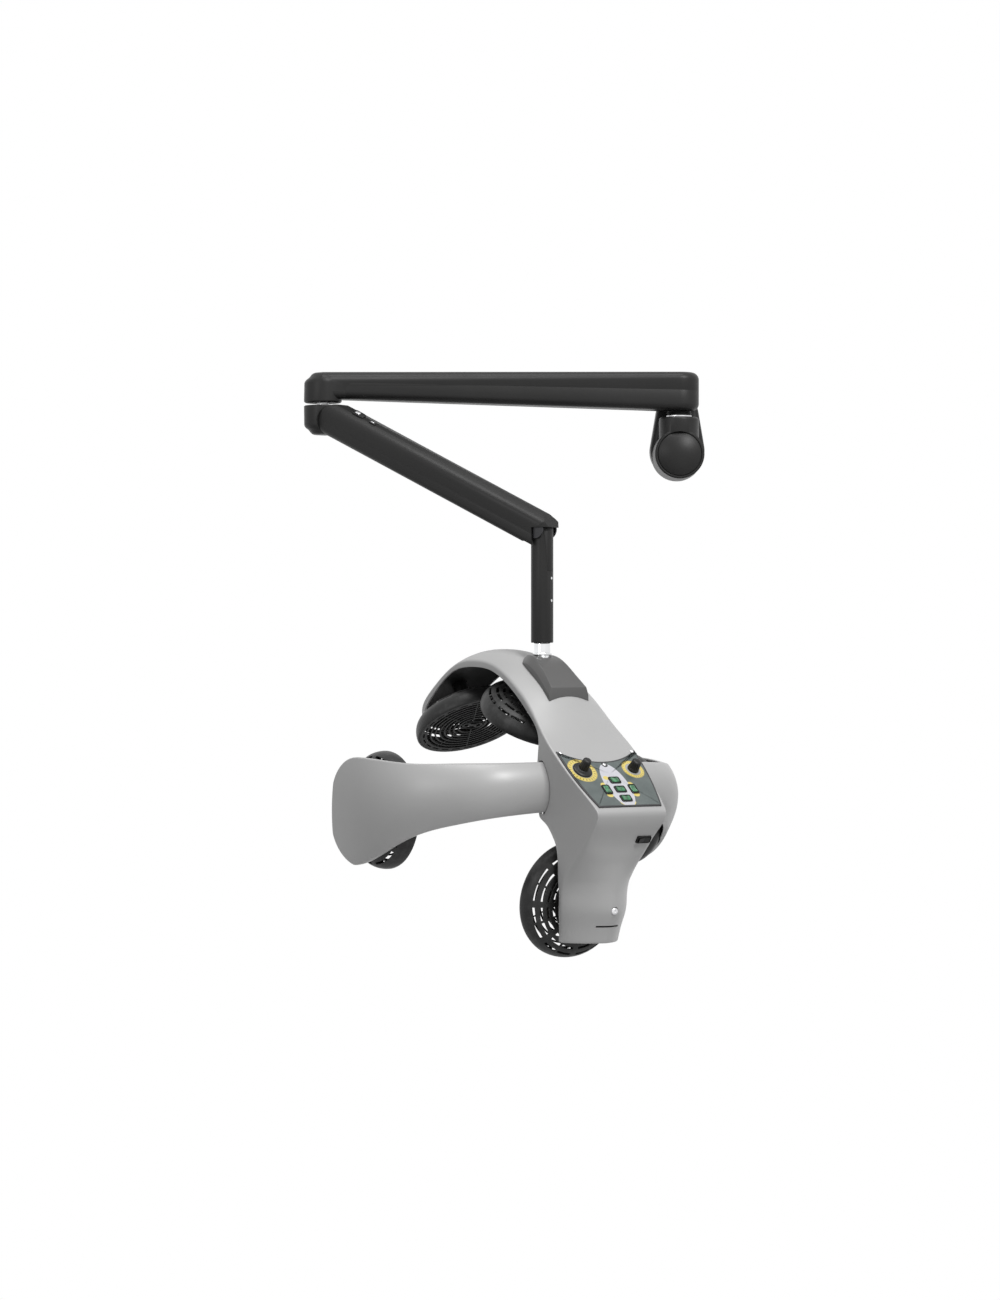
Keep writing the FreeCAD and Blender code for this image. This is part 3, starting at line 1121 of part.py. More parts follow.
def arm_section(index, inset, reach, side):
    """Upright section of a side arm: crowned outside, flat inside."""
    point, outward, top, foot = arm_edge(index, side)
    crown = ARM_STATIONS[index][1]
    edge = point - outward * inset
    inner = point - outward * (ARM_DEPTH + reach)
    high, low = Vector(0, 0, top - inset), Vector(0, 0, foot + inset)
    middle = edge + outward * crown + (high + low) * 0.5
    points = mirrored([inner + low, edge + low, middle, edge + high, inner + high], side)
    return Part.Wire([
        Part.makeLine(points[0], points[1]),
        Part.Arc(points[1], points[2], points[3]).toShape(),
        Part.makeLine(points[3], points[4]),
        Part.makeLine(points[4], points[0]),
    ])


def arm_outline(inset, side):
    """Side view of the arm's round end, as a block to keep."""
    sag = arm_sag(-1, side)
    top, foot = ARM_STATIONS[-1][2] - sag, ARM_STATIONS[-1][3] - sag
    outline = box(-400, 400, -300, ARM_END_Y - inset, foot - 6 + inset, top + 6 - inset)
    return rounded(outline, ARM_END_ROUND - inset,
                   lambda e: e.BoundBox.XLength > 700 and e.BoundBox.YMin > 0)


def arm_form(inset, reach, side):
    """Solid form of a side arm with its round end."""
    sections = [arm_section(k, inset, reach, side) for k in range(len(ARM_STATIONS))]
    return Part.makeLoft(sections, True, False).common(arm_outline(inset, side))


def arm_root_trim(side, reach):
    """Everything of a side arm nearer to the middle than the given distance."""
    return box(min(0, side * reach), max(0, side * reach), -200, 0, -700, -400)


def hinge_eye(side):
    """Knuckle round the hinge pin, joined to the shell by a short web."""
    x, y = side * HINGE[0], HINGE[1]
    mid = (ARM_STATIONS[0][2] + ARM_STATIONS[0][3]) / 2
    z0, z1 = mid - HINGE_EYE_H / 2, mid + HINGE_EYE_H / 2
    eye = rod(HINGE_EYE_R, (x, y, z0), (x, y, z1))
    web = box(min(x, x + side * 16), max(x, x + side * 16), y - 3, y + 3, z0, z1)
    return eye, web, rod(HINGE_PIN_R + RUN_FIT, (x, y, z0 - 1), (x, y, z1 + 1))


def side_heater_frame(side):
    """Frame at the front of a side arm's heater."""
    height = SIDE_AT[2] - arm_sag(-1, side)
    return heater_frame((side * SIDE_AT[0], SIDE_AT[1], height), (-side, 0, 0))


def side_heater_room(side):
    """Space that a side heater takes out of its arm, with clearance."""
    return at(dish(-HEATER_ROOM), side_heater_frame(side))


def side_arm_shell(side):
    """Outer shell of a side arm with its hinge knuckle."""
    shell = arm_form(0, 0, side).cut(arm_form(WALL, 12.0, side)).cut(arm_root_trim(side, 60.0))
    shell = shell.cut(side_heater_room(side))
    eye, web, bore = hinge_eye(side)
    web = web.common(arm_form(0.5, 0, side))
    return max(union([shell, eye, web]).cut(bore).Solids, key=lambda solid: solid.Volume)


def side_arm_liner(side):
    """Inner plate of a side arm, flat at the root and hollowed behind the heater."""
    sections = []
    for index, share in enumerate(ARM_LINER_SHARE):
        edge, outward, top, foot = arm_edge(index, side)
        far = edge - outward * (ARM_DEPTH - share * (ARM_DEPTH - WALL - THIN_WALL - GAP))
        near = far + outward * THIN_WALL
        high, low = Vector(0, 0, top - WALL - GAP), Vector(0, 0, foot + WALL + GAP)
        middle = outward * (ARM_STATIONS[index][1] * share) + (high + low) * 0.5
        outer = mirrored([near + low, near + middle, near + high], side)
        inner = mirrored([far + high, far + middle, far + low], side)
        sections.append(Part.Wire([
            Part.Arc(*outer).toShape(), Part.makeLine(outer[-1], inner[0]),
            Part.Arc(*inner).toShape(), Part.makeLine(inner[-1], outer[0]),
        ]))
    plate = Part.makeLoft(sections, True, False)
    plate = plate.common(arm_outline(WALL + GAP, side)).cut(arm_root_trim(side, ARM_LINER_FROM))
    return plate.cut(side_heater_room(side))


def hinge_pin(side):
    """Upright pin of a side arm, held in the spine."""
    x, y = side * HINGE[0], HINGE[1]
    mid = (ARM_STATIONS[0][2] + ARM_STATIONS[0][3]) / 2
    reach = HINGE_EYE_H / 2 + HINGE_LUG_T + 1
    return rod(HINGE_PIN_R, (x, y, mid - reach), (x, y, mid + reach))


# ================================================================ all parts
def save_wall_side():
    """The bracket and the upper arm."""
    save("wall_plate", wall_plate())
    save("bracket_body", bracket_body())
    save("bracket_cap", bracket_cap())
    save("bracket_bush", bracket_bush())
    top, bottom = upper_arm_shells()
    save("upper_arm_top_shell", top)
    save("upper_arm_bottom_shell", bottom)
    save("upper_arm_tube", upper_arm_tube())
    save("wall_pivot_pin", wall_pivot_pin())


def save_lower_side():
    """The elbow, the lower arm and the drop sleeve."""
    save("elbow_housing", at(elbow_housing(), ELBOW_FRAME))
    save("elbow_pin", at(elbow_pin(), ELBOW_FRAME))
    save("tilt_pin", at(cross_pin(TILT_OUT, TILT_Z), ELBOW_FRAME))
    top, bottom = lower_arm_shells()
    save("lower_arm_top_shell", at(top, TILT_FRAME))
    save("lower_arm_bottom_shell", at(bottom, TILT_FRAME))
    save("lower_arm_beam", at(lower_arm_beam(), TILT_FRAME))
    save("balance_spring", at(balance_spring(), TILT_FRAME))
    save("tension_screw", at(tension_screw(), TILT_FRAME))
    save("levelling_rod", at(levelling_rod(), TILT_FRAME))
    save("drop_sleeve", at(drop_sleeve(), SLEEVE_FRAME))
    save("sleeve_cover", at(sleeve_cover(), SLEEVE_FRAME))
    save("sleeve_screws", [at(s, SLEEVE_FRAME) for s in sleeve_screws()])
    save("sleeve_bush", at(sleeve_bush(), SLEEVE_FRAME))
    save("sleeve_pin", at(cross_pin(0, 0), SLEEVE_FRAME))


def save_head():
    """The head's spine, its controls, heaters and side arms."""
    save("stem_tube", at(stem_tube(), HEAD_FRAME))
    save("saddle_cover", at(saddle_cover(), HEAD_FRAME))
    save("spine_shell", at(spine_shell(), HEAD_FRAME))
    save("column_shell", at(column_shell(), HEAD_FRAME))
    save("spine_liner", [at(s, HEAD_FRAME) for s in spine_liner()])
    save("control_panel", at(control_panel(), HEAD_FRAME))
    save("circuit_board", at(circuit_board(), HEAD_FRAME))
    save("head_screws", [at(s, HEAD_FRAME) for s in head_screws()])
    save("switch_bezels", [at(s, HEAD_FRAME) for s in switch_bezels()])
    save("timer_knob", at(placed_knob(-DIAL_X, TIMER_R, TIMER_H, -40), HEAD_FRAME))
    save("power_knob", at(placed_knob(DIAL_X, POWER_R, POWER_H, 0), HEAD_FRAME))
    for name, x, down, turned in ROCKERS:
        blade = at(rocker_blade(ROCKER_L, ROCKER_W, ROCKER_PROUD), rocker_place(x, down, turned))
        save(name + "_rocker", at(on_panel(blade), HEAD_FRAME))
    blade = rocker_blade(SWITCH_L - 1.2, SWITCH_W, 3.0)
    save("main_switch", at(at(blade, switch_frame()), HEAD_FRAME))
    posts = []
    for name, centre, facing, post in head_heaters():
        frame = HEAD_FRAME.multiply(heater_frame(centre, facing))
        save_heater(name, frame)
        posts.append(at(heater_post(post), frame))
    save("heater_posts", posts)
    for name, side, turn in (("left", -1, 0.0), ("right", 1, RIGHT_ARM_TURN)):
        hinge = Vector(side * HINGE[0], HINGE[1], 0)
        frame = HEAD_FRAME.multiply(Placement(Vector(), Rotation(Vector(0, 0, 1), turn), hinge))
        save_heater(name, frame.multiply(side_heater_frame(side)), SIDE_STALK)
        save(name + "_arm_shell", at(side_arm_shell(side), frame))
        save(name + "_arm_liner", at(side_arm_liner(side), frame))
    save("arm_hinge_pins", [at(hinge_pin(side), HEAD_FRAME) for side in (-1, 1)])


os.makedirs("parts", exist_ok=True)
save_wall_side()
save_lower_side()
save_head()
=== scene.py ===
import json
import math

import bmesh
import bpy
import numpy as np
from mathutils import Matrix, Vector


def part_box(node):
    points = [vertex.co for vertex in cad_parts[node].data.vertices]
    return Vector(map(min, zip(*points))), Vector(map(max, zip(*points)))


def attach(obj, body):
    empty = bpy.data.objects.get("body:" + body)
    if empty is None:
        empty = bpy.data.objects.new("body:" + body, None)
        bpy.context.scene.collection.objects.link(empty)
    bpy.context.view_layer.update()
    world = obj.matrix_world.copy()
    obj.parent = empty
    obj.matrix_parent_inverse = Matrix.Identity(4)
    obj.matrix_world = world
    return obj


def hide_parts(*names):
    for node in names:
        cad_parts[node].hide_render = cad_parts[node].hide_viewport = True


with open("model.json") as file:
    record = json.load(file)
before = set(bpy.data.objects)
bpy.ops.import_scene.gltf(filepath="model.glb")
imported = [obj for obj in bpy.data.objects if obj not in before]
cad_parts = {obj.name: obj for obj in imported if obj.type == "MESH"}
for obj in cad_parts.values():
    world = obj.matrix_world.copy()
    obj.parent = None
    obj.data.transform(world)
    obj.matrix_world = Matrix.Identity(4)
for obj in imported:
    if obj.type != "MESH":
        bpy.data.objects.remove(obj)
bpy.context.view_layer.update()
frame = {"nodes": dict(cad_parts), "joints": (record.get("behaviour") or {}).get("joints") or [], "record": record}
NODES = frame["nodes"]

# Wall-mounted hair colour processor, in metres, in the frame of the CAD model:
# wall on the plane Y = 0, the machine on its -Y side, +Z up.

MM = 0.001
WELD, DOUBLES = 0.00001, 0.000002     # how near points are merged, in metres


# ================================================================ frames taken from the CAD
def joint_named(name):
    """The record's entry of one joint."""
    return next(j for j in frame["joints"] if j["name"] == name)


STEM = Vector(joint_named("head_swivel")["pos_m"])
HEAD_YAW = math.radians(34.0)
HEAD_COS, HEAD_SIN = math.cos(HEAD_YAW), math.sin(HEAD_YAW)


def head_points(x, y, z):
    """Head's own millimetres (stem axis at 0, 0, height above the origin) to the row frame."""
    x, y, z = (np.asarray(v, float) * MM for v in (x, y, z))
    x, y, z = np.broadcast_arrays(x, y, z)
    return np.stack([STEM.x + x * HEAD_COS - y * HEAD_SIN,
                     STEM.y + x * HEAD_SIN + y * HEAD_COS, z], axis=-1)


# ================================================================ shader maths
class Value:
    """A shader socket that takes part in ordinary arithmetic."""

    def __init__(self, tree, socket):
        self.tree, self.socket = tree, socket

    def node(self, kind, settings=None, inputs=None, output=0):
        """Any node: its settings first, then socket values or links, by name or number."""
        made = self.tree.nodes.new(kind)
        for name, value in (settings or {}).items():
            setattr(made, name, value)
        for name, value in (inputs or {}).items():
            socket = made.inputs[name]
            if isinstance(value, Value):
                self.tree.links.new(value.socket, socket)
            else:
                socket.default_value = value
        return Value(self.tree, made.outputs[output])

    def maths(self, operation, *others):
        """One Math node."""
        return self.node("ShaderNodeMath", {"operation": operation},
                         dict(enumerate((self, *others))))

    def __add__(self, other):
        return self.maths("ADD", other)

    __radd__ = __add__

    def __sub__(self, other):
        return self.maths("SUBTRACT", other)

    def __mul__(self, other):
        return self.maths("MULTIPLY", other)

    def __truediv__(self, other):
        return self.maths("DIVIDE", other)

    def __abs__(self):
        return self.maths("ABSOLUTE")

    def root(self):
        """Square root."""
        return self.maths("SQRT")

    def ramp(self, low, high, start=0.0, end=1.0):
        """Smooth step: start below low, end above high."""
        return self.node("ShaderNodeMapRange", {"interpolation_type": "SMOOTHSTEP"},
                         {0: self, 1: low, 2: high, 3: start, 4: end})

    def mix(self, first, second):
        """Blend of two colours, this value being the share of the second."""
        return self.node("ShaderNodeMix", {"data_type": "RGBA"}, {0: self, 6: first, 7: second},
                         output=2)


class Finish:
    """A material under construction: object coordinates in, a Principled shader out."""

    def __init__(self, name):
        self.material = bpy.data.materials.new(name)
        self.material.use_nodes = True
        self.tree = self.material.node_tree
        self.shader = self.tree.nodes["Principled BSDF"]
        place = self.tree.nodes.new("ShaderNodeTexCoord")
        self.place = Value(self.tree, place.outputs["Object"])

    def noise(self, scale, detail=3.0, roughness=0.5, stretch=None):
        """Fractal noise, 0 to 1, about `scale` cells a metre."""
        where = self.place
        if stretch:
            where = where.node("ShaderNodeVectorMath", {"operation": "MULTIPLY"},
                               {0: where, 1: stretch})
        return where.node("ShaderNodeTexNoise", {},
                          {"Vector": where, "Scale": scale, "Detail": detail,
                           "Roughness": roughness})

    def cells(self, scale):
        """Distance to the nearest of scattered points, about `scale` a metre."""
        return self.place.node("ShaderNodeTexVoronoi", {}, {"Vector": self.place, "Scale": scale})

    def along(self, origin, way):
        """Distance in metres from a point along a direction."""
        away = self.place.node("ShaderNodeVectorMath", {"operation": "SUBTRACT"},
                               {0: self.place, 1: origin})
        return away.node("ShaderNodeVectorMath", {"operation": "DOT_PRODUCT"},
                         {0: away, 1: way}, output=1)

    def drive(self, name, value):
        """Link a value to an input of the shader, or set it."""
        if isinstance(value, Value):
            self.tree.links.new(value.socket, self.shader.inputs[name])
        else:
            self.shader.inputs[name].default_value = value
        return self

    def bump(self, height, distance):
        """Relief from a height value, its full swing being `distance` metres."""
        return self.drive("Normal", height.node("ShaderNodeBump", {},
                                                {"Height": height, "Distance": distance,
                                                 "Strength": 1.0}))


def tone(level, warm=0.0):
    """A grey, linear, slightly warm or cool."""
    return (level * (1 + warm), level, level * (1 - warm), 1.0)


def shaded(colour, times, plus=0.0):
    """A colour made lighter or darker."""
    return (*(min(1.0, channel * times + plus) for channel in colour[:3]), 1.0)


def moulded(name, colour, spread, rough, grain, relief, coat=0.0, shine=0.5):
    """Moulded plastic: faint mottling, a fine spark-eroded grain and rubbed patches."""
    finish = Finish(name)
    mottle = finish.noise(7.0, 4.0)
    rubbed = finish.noise(23.0, 5.0, 0.6)
    fine = finish.noise(grain, 2.0, 0.6)
    finish.drive("Base Color", (mottle * 0.6 + fine * 0.4).ramp(0.25, 0.75).mix(
        shaded(colour, 1 - spread), shaded(colour, 1 + spread)))
    finish.drive("Roughness", rough + (rubbed - 0.5) * 0.16 + (fine - 0.5) * 0.10)
    finish.drive("Coat Weight", coat)
    finish.drive("Coat Roughness", 0.35)
    finish.drive("Specular IOR Level", shine)
    return finish.bump(fine, relief).material


def metal(name, colour, rough, scratch, relief):
    """Bare or plated metal with fine scratches and cloudy patches of wear."""
    finish = Finish(name)
    lines = finish.noise(scratch, 3.0, 0.7, stretch=(1.0, 1.0, 0.06))
    cloud = finish.noise(30.0, 3.0)
    finish.drive("Base Color", cloud.ramp(0.3, 0.7).mix(shaded(colour, 0.86), colour))
    finish.drive("Metallic", 1.0)
    finish.drive("Roughness", rough + (cloud - 0.5) * rough * 0.5 + (lines - 0.5) * rough * 0.3)
    return finish.bump(lines, relief).material


def enamel(name, colour, rough):
    """Black baked enamel with a soft orange-peel surface."""
    finish = Finish(name)
    peel = finish.noise(420.0, 2.0)
    dust = finish.noise(60.0, 5.0, 0.65)
    finish.drive("Base Color", dust.ramp(0.42, 0.8).mix(colour, shaded(colour, 2.2, 0.006)))
    finish.drive("Roughness", rough + (dust - 0.5) * 0.2)
    finish.drive("Specular IOR Level", 0.25)
    return finish.bump(peel, 0.00010).material


def ceramic(name, colour):
    """Unglazed ceramic with faint specks."""
    finish = Finish(name)
    specks = finish.cells(900.0)
    tint = finish.noise(60.0, 4.0)
    finish.drive("Base Color", (specks.ramp(0.05, 0.3) * tint.ramp(0.2, 0.6)).mix(
        shaded(colour, 0.8), colour))
    finish.drive("Roughness", 0.75 + (tint - 0.5) * 0.2)
    return finish.bump(tint, 0.00005).material


def translucent(name, colour, painted_glow):
    """Tinted see-through plastic key, with a painted glow in patches that stands in for its glints."""
    finish = Finish(name)
    depth = finish.noise(160.0, 3.0)
    bright = shaded(colour, 2.6, 0.02)
    finish.drive("Base Color", depth.ramp(0.35, 0.7).mix(colour, bright))
    finish.drive("Roughness", 0.16 + (depth - 0.5) * 0.1)
    finish.drive("Coat Weight", 0.6)
    # Painted glow: emission in noise patches stands in for glints on the key, which is no lamp.
    finish.drive("Emission Color", depth.ramp(0.4, 0.75).mix((0.0, 0.02, 0.005, 1.0), bright))
    finish.drive("Emission Strength", painted_glow)
    return finish.bump(depth, 0.00004).material


# Moulded: colour, mottling, roughness, grain, relief, coat, shine. Metal: colour, roughness,
# scratches, relief.
FINISHES = {name: make(name, *values) for make, name, *values in (
    (moulded, "charcoal_plastic", tone(0.017, 0.01), 0.18, 0.40, 2600.0, 0.00006, 0.0, 0.2),
    (moulded, "silver_plastic", tone(0.36, 0.004), 0.035, 0.40, 3200.0, 0.00003, 0.15),
    (moulded, "dark_grey_plastic", tone(0.075, 0.01), 0.08, 0.42, 2600.0, 0.00004, 0.1),
    (moulded, "liner_plastic", tone(0.018), 0.2, 0.55, 1800.0, 0.00008, 0.0, 0.2),
    (enamel, "black_enamel", tone(0.020), 0.40),
    (enamel, "black_wire", tone(0.006), 0.42),
    (ceramic, "element_ceramic", (0.050, 0.046, 0.042, 1.0)),
    (metal, "chrome", (0.86, 0.87, 0.88, 1.0), 0.09, 900.0, 0.000004),
    (metal, "steel", (0.72, 0.72, 0.73, 1.0), 0.30, 1400.0, 0.00002),
    (metal, "blackened_steel", (0.055, 0.055, 0.058, 1.0), 0.42, 1400.0, 0.00002),
    (metal, "bronze", (0.55, 0.36, 0.16, 1.0), 0.32, 900.0, 0.00002),
    (moulded, "bush_plastic", tone(0.60, 0.02), 0.05, 0.5, 1200.0, 0.00004),
    (moulded, "circuit_green", (0.015, 0.10, 0.035, 1.0), 0.15, 0.3, 900.0, 0.00004),
    (moulded, "black_gloss", tone(0.008), 0.2, 0.40, 1500.0, 0.00003, 0.0, 0.3),
    # The last number is the strength of the painted glow on the keys.
    (translucent, "green_translucent", (0.003, 0.075, 0.022, 1.0), 0.28),
)}
# Hidden metal that would catch the light through a gap, and the ring under the upper arm.
OTHER_FINISH = {"sleeve_pin": "blackened_steel", "wall_pivot_pin": "blackened_steel",
                "lower_arm_beam": "blackened_steel", "bracket_bush": "steel"}
SLOT_OF = {s["node"]: s["material_slot"] for s in frame["record"]["subparts"]}
BODY_OF = {n: body for body, members in frame["record"]["behaviour"]["bodies"].items()
           for n in members}


# ================================================================ stage, lights and camera
ROOM_LIGHT, ROOM_STRENGTH = (0.78, 0.79, 0.80, 1), 0.27
FOCUS = Vector((-0.25, -0.25, -0.35))
LAMPS = (          # name, place, size and watts
    ("key", (1.5, -2.9, 2.3), (1.2, 1.2), 125.0),
    ("fill", (-2.4, -2.6, 0.7), (0.7, 0.9), 13.0),
    ("top", (-0.4, -0.9, 2.6), (2.0, 1.2), 48.0),
    ("low", (0.4, -3.4, -1.5), (1.8, 1.2), 5.0),
)
CAMERA_AT, CAMERA_LENS = (-0.284, -5.5, -0.338), 94.6


def linked(name, data):
    """A new object in the scene."""
    made = bpy.data.objects.new(name, data)
    bpy.context.scene.collection.objects.link(made)
    return made


def white_world():
    """Pure white to the camera and in reflections, a quiet grey studio to diffuse light."""
    world = bpy.data.worlds.new("studio")
    bpy.context.scene.world = world
    world.use_nodes = True
    tree = world.node_tree
    tree.nodes.clear()
    path, seen, room, mix, out = (tree.nodes.new("ShaderNode" + kind) for kind in (
        "LightPath", "Background", "Background", "MixShader", "OutputWorld"))
    seen.inputs[0].default_value = (1, 1, 1, 1)
    room.inputs[0].default_value = ROOM_LIGHT
    room.inputs[1].default_value = ROOM_STRENGTH
    shown = Value(tree, path.outputs["Is Camera Ray"])
    for kind in ("Is Glossy Ray", "Is Transmission Ray"):
        shown = shown + Value(tree, path.outputs[kind])
    for source, target in ((shown.socket, mix.inputs[0]), (room.outputs[0], mix.inputs[1]),
                           (seen.outputs[0], mix.inputs[2]), (mix.outputs[0], out.inputs[0])):
        tree.links.new(source, target)


white_world()
for lamp_name, place, lamp_size, watts in LAMPS:
    lamp = bpy.data.lights.new(lamp_name, "AREA")
    lamp.shape = "RECTANGLE"
    lamp.size, lamp.size_y = lamp_size
    lamp.energy = watts
    made = linked(lamp_name, lamp)
    made.location = place
    made.rotation_euler = (FOCUS - Vector(place)).to_track_quat("-Z", "Y").to_euler()

camera = linked("camera", bpy.data.cameras.new("camera"))
camera.location = CAMERA_AT
camera.rotation_euler = (math.pi / 2, 0, 0)
camera.data.lens = CAMERA_LENS
camera.data.sensor_width = 36.0
bpy.context.scene.camera = camera
bpy.context.scene.view_settings.view_transform = "Standard"


# ================================================================ pieces from CAD nodes
def refined(node, edge=0.0007, angle=34.0):
    """A smooth-shaded copy of a CAD node with small rounded edges, standing for the node."""
    mesh = NODES[node].data.copy()
    mesh.name = node + "_fine"
    piece = linked(node + "_fine", mesh)
    piece.modifiers.new("weld", "WELD").merge_threshold = WELD
    bevel = piece.modifiers.new("edges", "BEVEL")
    bevel.limit_method = "ANGLE"
    bevel.angle_limit = math.radians(angle)
    bevel.width = edge
    bevel.segments = 2
    settled(piece)
    finished(piece, SLOT_OF[node], BODY_OF[node], node, angle=angle)


# ================================================================ surfaces worked out as arrays
def circle(count):
    """Even angles round a full turn."""
    return np.linspace(0, 2 * np.pi, count, endpoint=False)


def unit(ways):
    """A vector, or each row of vectors, at length one."""
    return ways / np.linalg.norm(ways, axis=-1, keepdims=True)


def distances(points):
    """Distance along a line of points, from its start."""
    return np.concatenate([[0], np.cumsum(np.linalg.norm(np.diff(points, axis=0), axis=1))])


def across_line(ways):
    """Flat vectors turned a quarter to the right."""
    return np.stack([ways[:, 1], -ways[:, 0]], 1)


def spline(knots, values, where):
    """Natural cubic spline through rows of values, read at many places.

    The second derivatives solve the usual three-banded system; each span is then the straight
    line between its ends plus a cubic term for either end's second derivative.
    """
    knots, values = np.asarray(knots, float), np.asarray(values, float)
    gap = np.diff(knots)
    system = np.eye(len(knots))
    inner = np.arange(1, len(knots) - 1)
    system[inner, inner - 1] = gap[:-1]
    system[inner, inner] = 2 * (gap[:-1] + gap[1:])
    system[inner, inner + 1] = gap[1:]
    bend = np.zeros_like(values)
    bend[1:-1] = 6 * np.diff(np.diff(values, axis=0) / gap[:, None], axis=0)
    bend = np.linalg.solve(system, bend)
    span = np.clip(np.searchsorted(knots, where) - 1, 0, len(gap) - 1)
    wide = gap[span][:, None]
    near = (where - knots[span])[:, None] / wide
    far = 1 - near
    return (far * values[span] + near * values[span + 1]
            + ((far ** 3 - far) * bend[span] + (near ** 3 - near) * bend[span + 1])
            * wide ** 2 / 6)


def walk(stations, places, smooth):
    """Station rows read at distances along their path.

    The first two columns are the path. The knots are the square roots of the steps, added up.
    The columns in `smooth` follow the spline and the others run straight between stations.
    """
    stations = np.asarray(stations, float)
    steps = np.sqrt(np.linalg.norm(np.diff(stations[:, :2], axis=0), axis=1))
    knots = np.concatenate([[0], np.cumsum(steps)])
    fine_knots = np.linspace(0, knots[-1], 4000)
    fine = spline(knots, stations, fine_knots)
    for column in range(stations.shape[1]):
        if column not in smooth:
            fine[:, column] = np.interp(fine_knots, knots, stations[:, column])
    reach = distances(fine[:, :2])
    places = np.clip(places(reach[-1]), 0, reach[-1])
    return np.stack([np.interp(places, reach, column) for column in fine.T], 1), places, reach[-1]


def even(step, round_over):
    """Distances along a path of a given length: even steps, and closer at its rounded ends."""
    def places(length):
        turn = np.linspace(0, np.pi / 2, 6)[:-1]
        ease = round_over * (1 - np.cos(turn))
        middle = np.linspace(round_over, length - round_over,
                             int((length - 2 * round_over) / step))
        return np.concatenate([ease, middle, (length - ease)[::-1]])
    return places


def end_inset(left, round_over):
    """How far a section shrinks this far from an end: a quarter circle's sagitta."""
    near = np.clip(round_over - left, 0, round_over)
    return round_over - np.sqrt(round_over ** 2 - near ** 2)


class Skin:
    """A mesh gathered from grids of points, in metres."""

    def __init__(self):
        self.points, self.faces, self.count = [], [], 0

    def grid(self, points, around=False, looped=False, capped=False, keep=None):
        """Quads between neighbouring points of a (rows, columns, 3) grid.

        `around` joins the last column to the first and `looped` the last row to the first.
        `capped` closes both end rows with a fan to their middle. `keep` is a mask of the quads.
        """
        rows, columns = points.shape[:2]
        index = np.arange(rows * columns).reshape(rows, columns) + self.count
        right = np.roll(index, -1, 1) if around else index[:, 1:]
        left = index if around else index[:, :-1]
        if looped:
            quads = np.stack([left, right, np.roll(right, -1, 0), np.roll(left, -1, 0)], -1)
        else:
            quads = np.stack([left[:-1], right[:-1], right[1:], left[1:]], -1)
        if keep is not None:
            quads = quads[keep]
        self.faces.extend(quads.reshape(-1, 4).tolist())
        self.points.append(points.reshape(-1, 3))
        self.count += rows * columns
        if capped:
            for row in (0, -1):
                ring = index[row]
                self.points.append(points[row].mean(0)[None])
                hub = np.full_like(ring, self.count)
                self.faces.extend(np.stack([ring, np.roll(ring, -1), hub], -1).tolist())
                self.count += 1
        return self

    def add(self, other):
        """Take in another skin's points and faces."""
        self.points.extend(other.points)
        self.faces.extend([[index + self.count for index in face] for face in other.faces])
        self.count += other.count
        return self

    def mesh(self, name):
        """The gathered mesh, with doubles merged and faces turned outwards."""
        made = bpy.data.meshes.new(name)
        made.from_pydata(np.concatenate(self.points).tolist(), [], self.faces)
        work = bmesh.new()
        work.from_mesh(made)
        bmesh.ops.remove_doubles(work, verts=work.verts, dist=DOUBLES)
        bmesh.ops.dissolve_degenerate(work, edges=work.edges, dist=DOUBLES)
        bmesh.ops.recalc_face_normals(work, faces=work.faces)
        work.to_mesh(made)
        work.free()
        return made


def closed(grid):
    """A closed skin: the grid's rows are rings, and both end rings are capped."""
    return Skin().grid(grid, around=True, capped=True)


def settled(thing):
    """Apply an object's modifiers."""
    depsgraph = bpy.context.evaluated_depsgraph_get()
    fine = bpy.data.meshes.new_from_object(thing.evaluated_get(depsgraph))
    thing.modifiers.clear()
    thing.data = fine
    return thing


def walled(thing, thick):
    """Give an open surface a wall, inwards."""
    wall = thing.modifiers.new("wall", "SOLIDIFY")
    wall.thickness = thick * MM
    wall.offset = -1.0
    return settled(thing)


def loose(name, skin):
    """An object with a skin's mesh, linked to the scene."""
    return linked(name, skin.mesh(name))


def carved(thing, cutters):
    """Take closed skins out of a closed piece."""
    for cutter in cutters:
        tool = loose("tool", cutter)
        cut = thing.modifiers.new("cut", "BOOLEAN")
        cut.operation = "DIFFERENCE"
        cut.solver = "EXACT"
        cut.object = tool
        settled(thing)
        bpy.data.objects.remove(tool, do_unlink=True)
    return thing


def finished(thing, material_slot, body, *nodes, angle=30.0):
    """Smooth shading, finish, body and the CAD nodes that a piece stands for."""
    mesh = thing.data
    mesh.materials.clear()
    mesh.materials.append(FINISHES[material_slot])
    mesh.polygons.foreach_set("use_smooth", np.ones(len(mesh.polygons), bool))
    mesh.set_sharp_from_angle(angle=math.radians(angle))
    if nodes:
        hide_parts(*nodes)
    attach(thing, body)
    return thing


def mirrored_loop(half):
    """Closed section from its right half, which runs from the front's middle to the back's."""
    left = half[:, -2:0:-1] * np.array([-1.0, 1.0])
    return np.concatenate([half, left], 1)


def bend_between(start, corner, end, count):
    """Points of the quadratic curve from start to end that leaves and meets the corner's sides."""
    share = (np.arange(count) + 0.5)[None, :, None] / count
    return ((1 - share) ** 2 * start[:, None] + 2 * share * (1 - share) * corner[:, None]
            + share ** 2 * end[:, None])


def straight(start, end, count):
    """Points from start to end, without the end itself."""
    share = np.linspace(0, 1, count, endpoint=False)[None, :, None]
    return start[:, None] * (1 - share) + end[:, None] * share


def pair(first, second):
    """Rows of two coordinates."""
    first, second = np.broadcast_arrays(np.asarray(first, float), np.asarray(second, float))
    return np.stack([first, second], -1)


def turned_rows(rows, radius, count):
    """Rows of (radius, height) carried round the Z axis: a (rows, count, 3) grid."""
    turn = circle(count)
    return np.stack([radius * np.cos(turn), radius * np.sin(turn), rows + 0 * turn], -1)


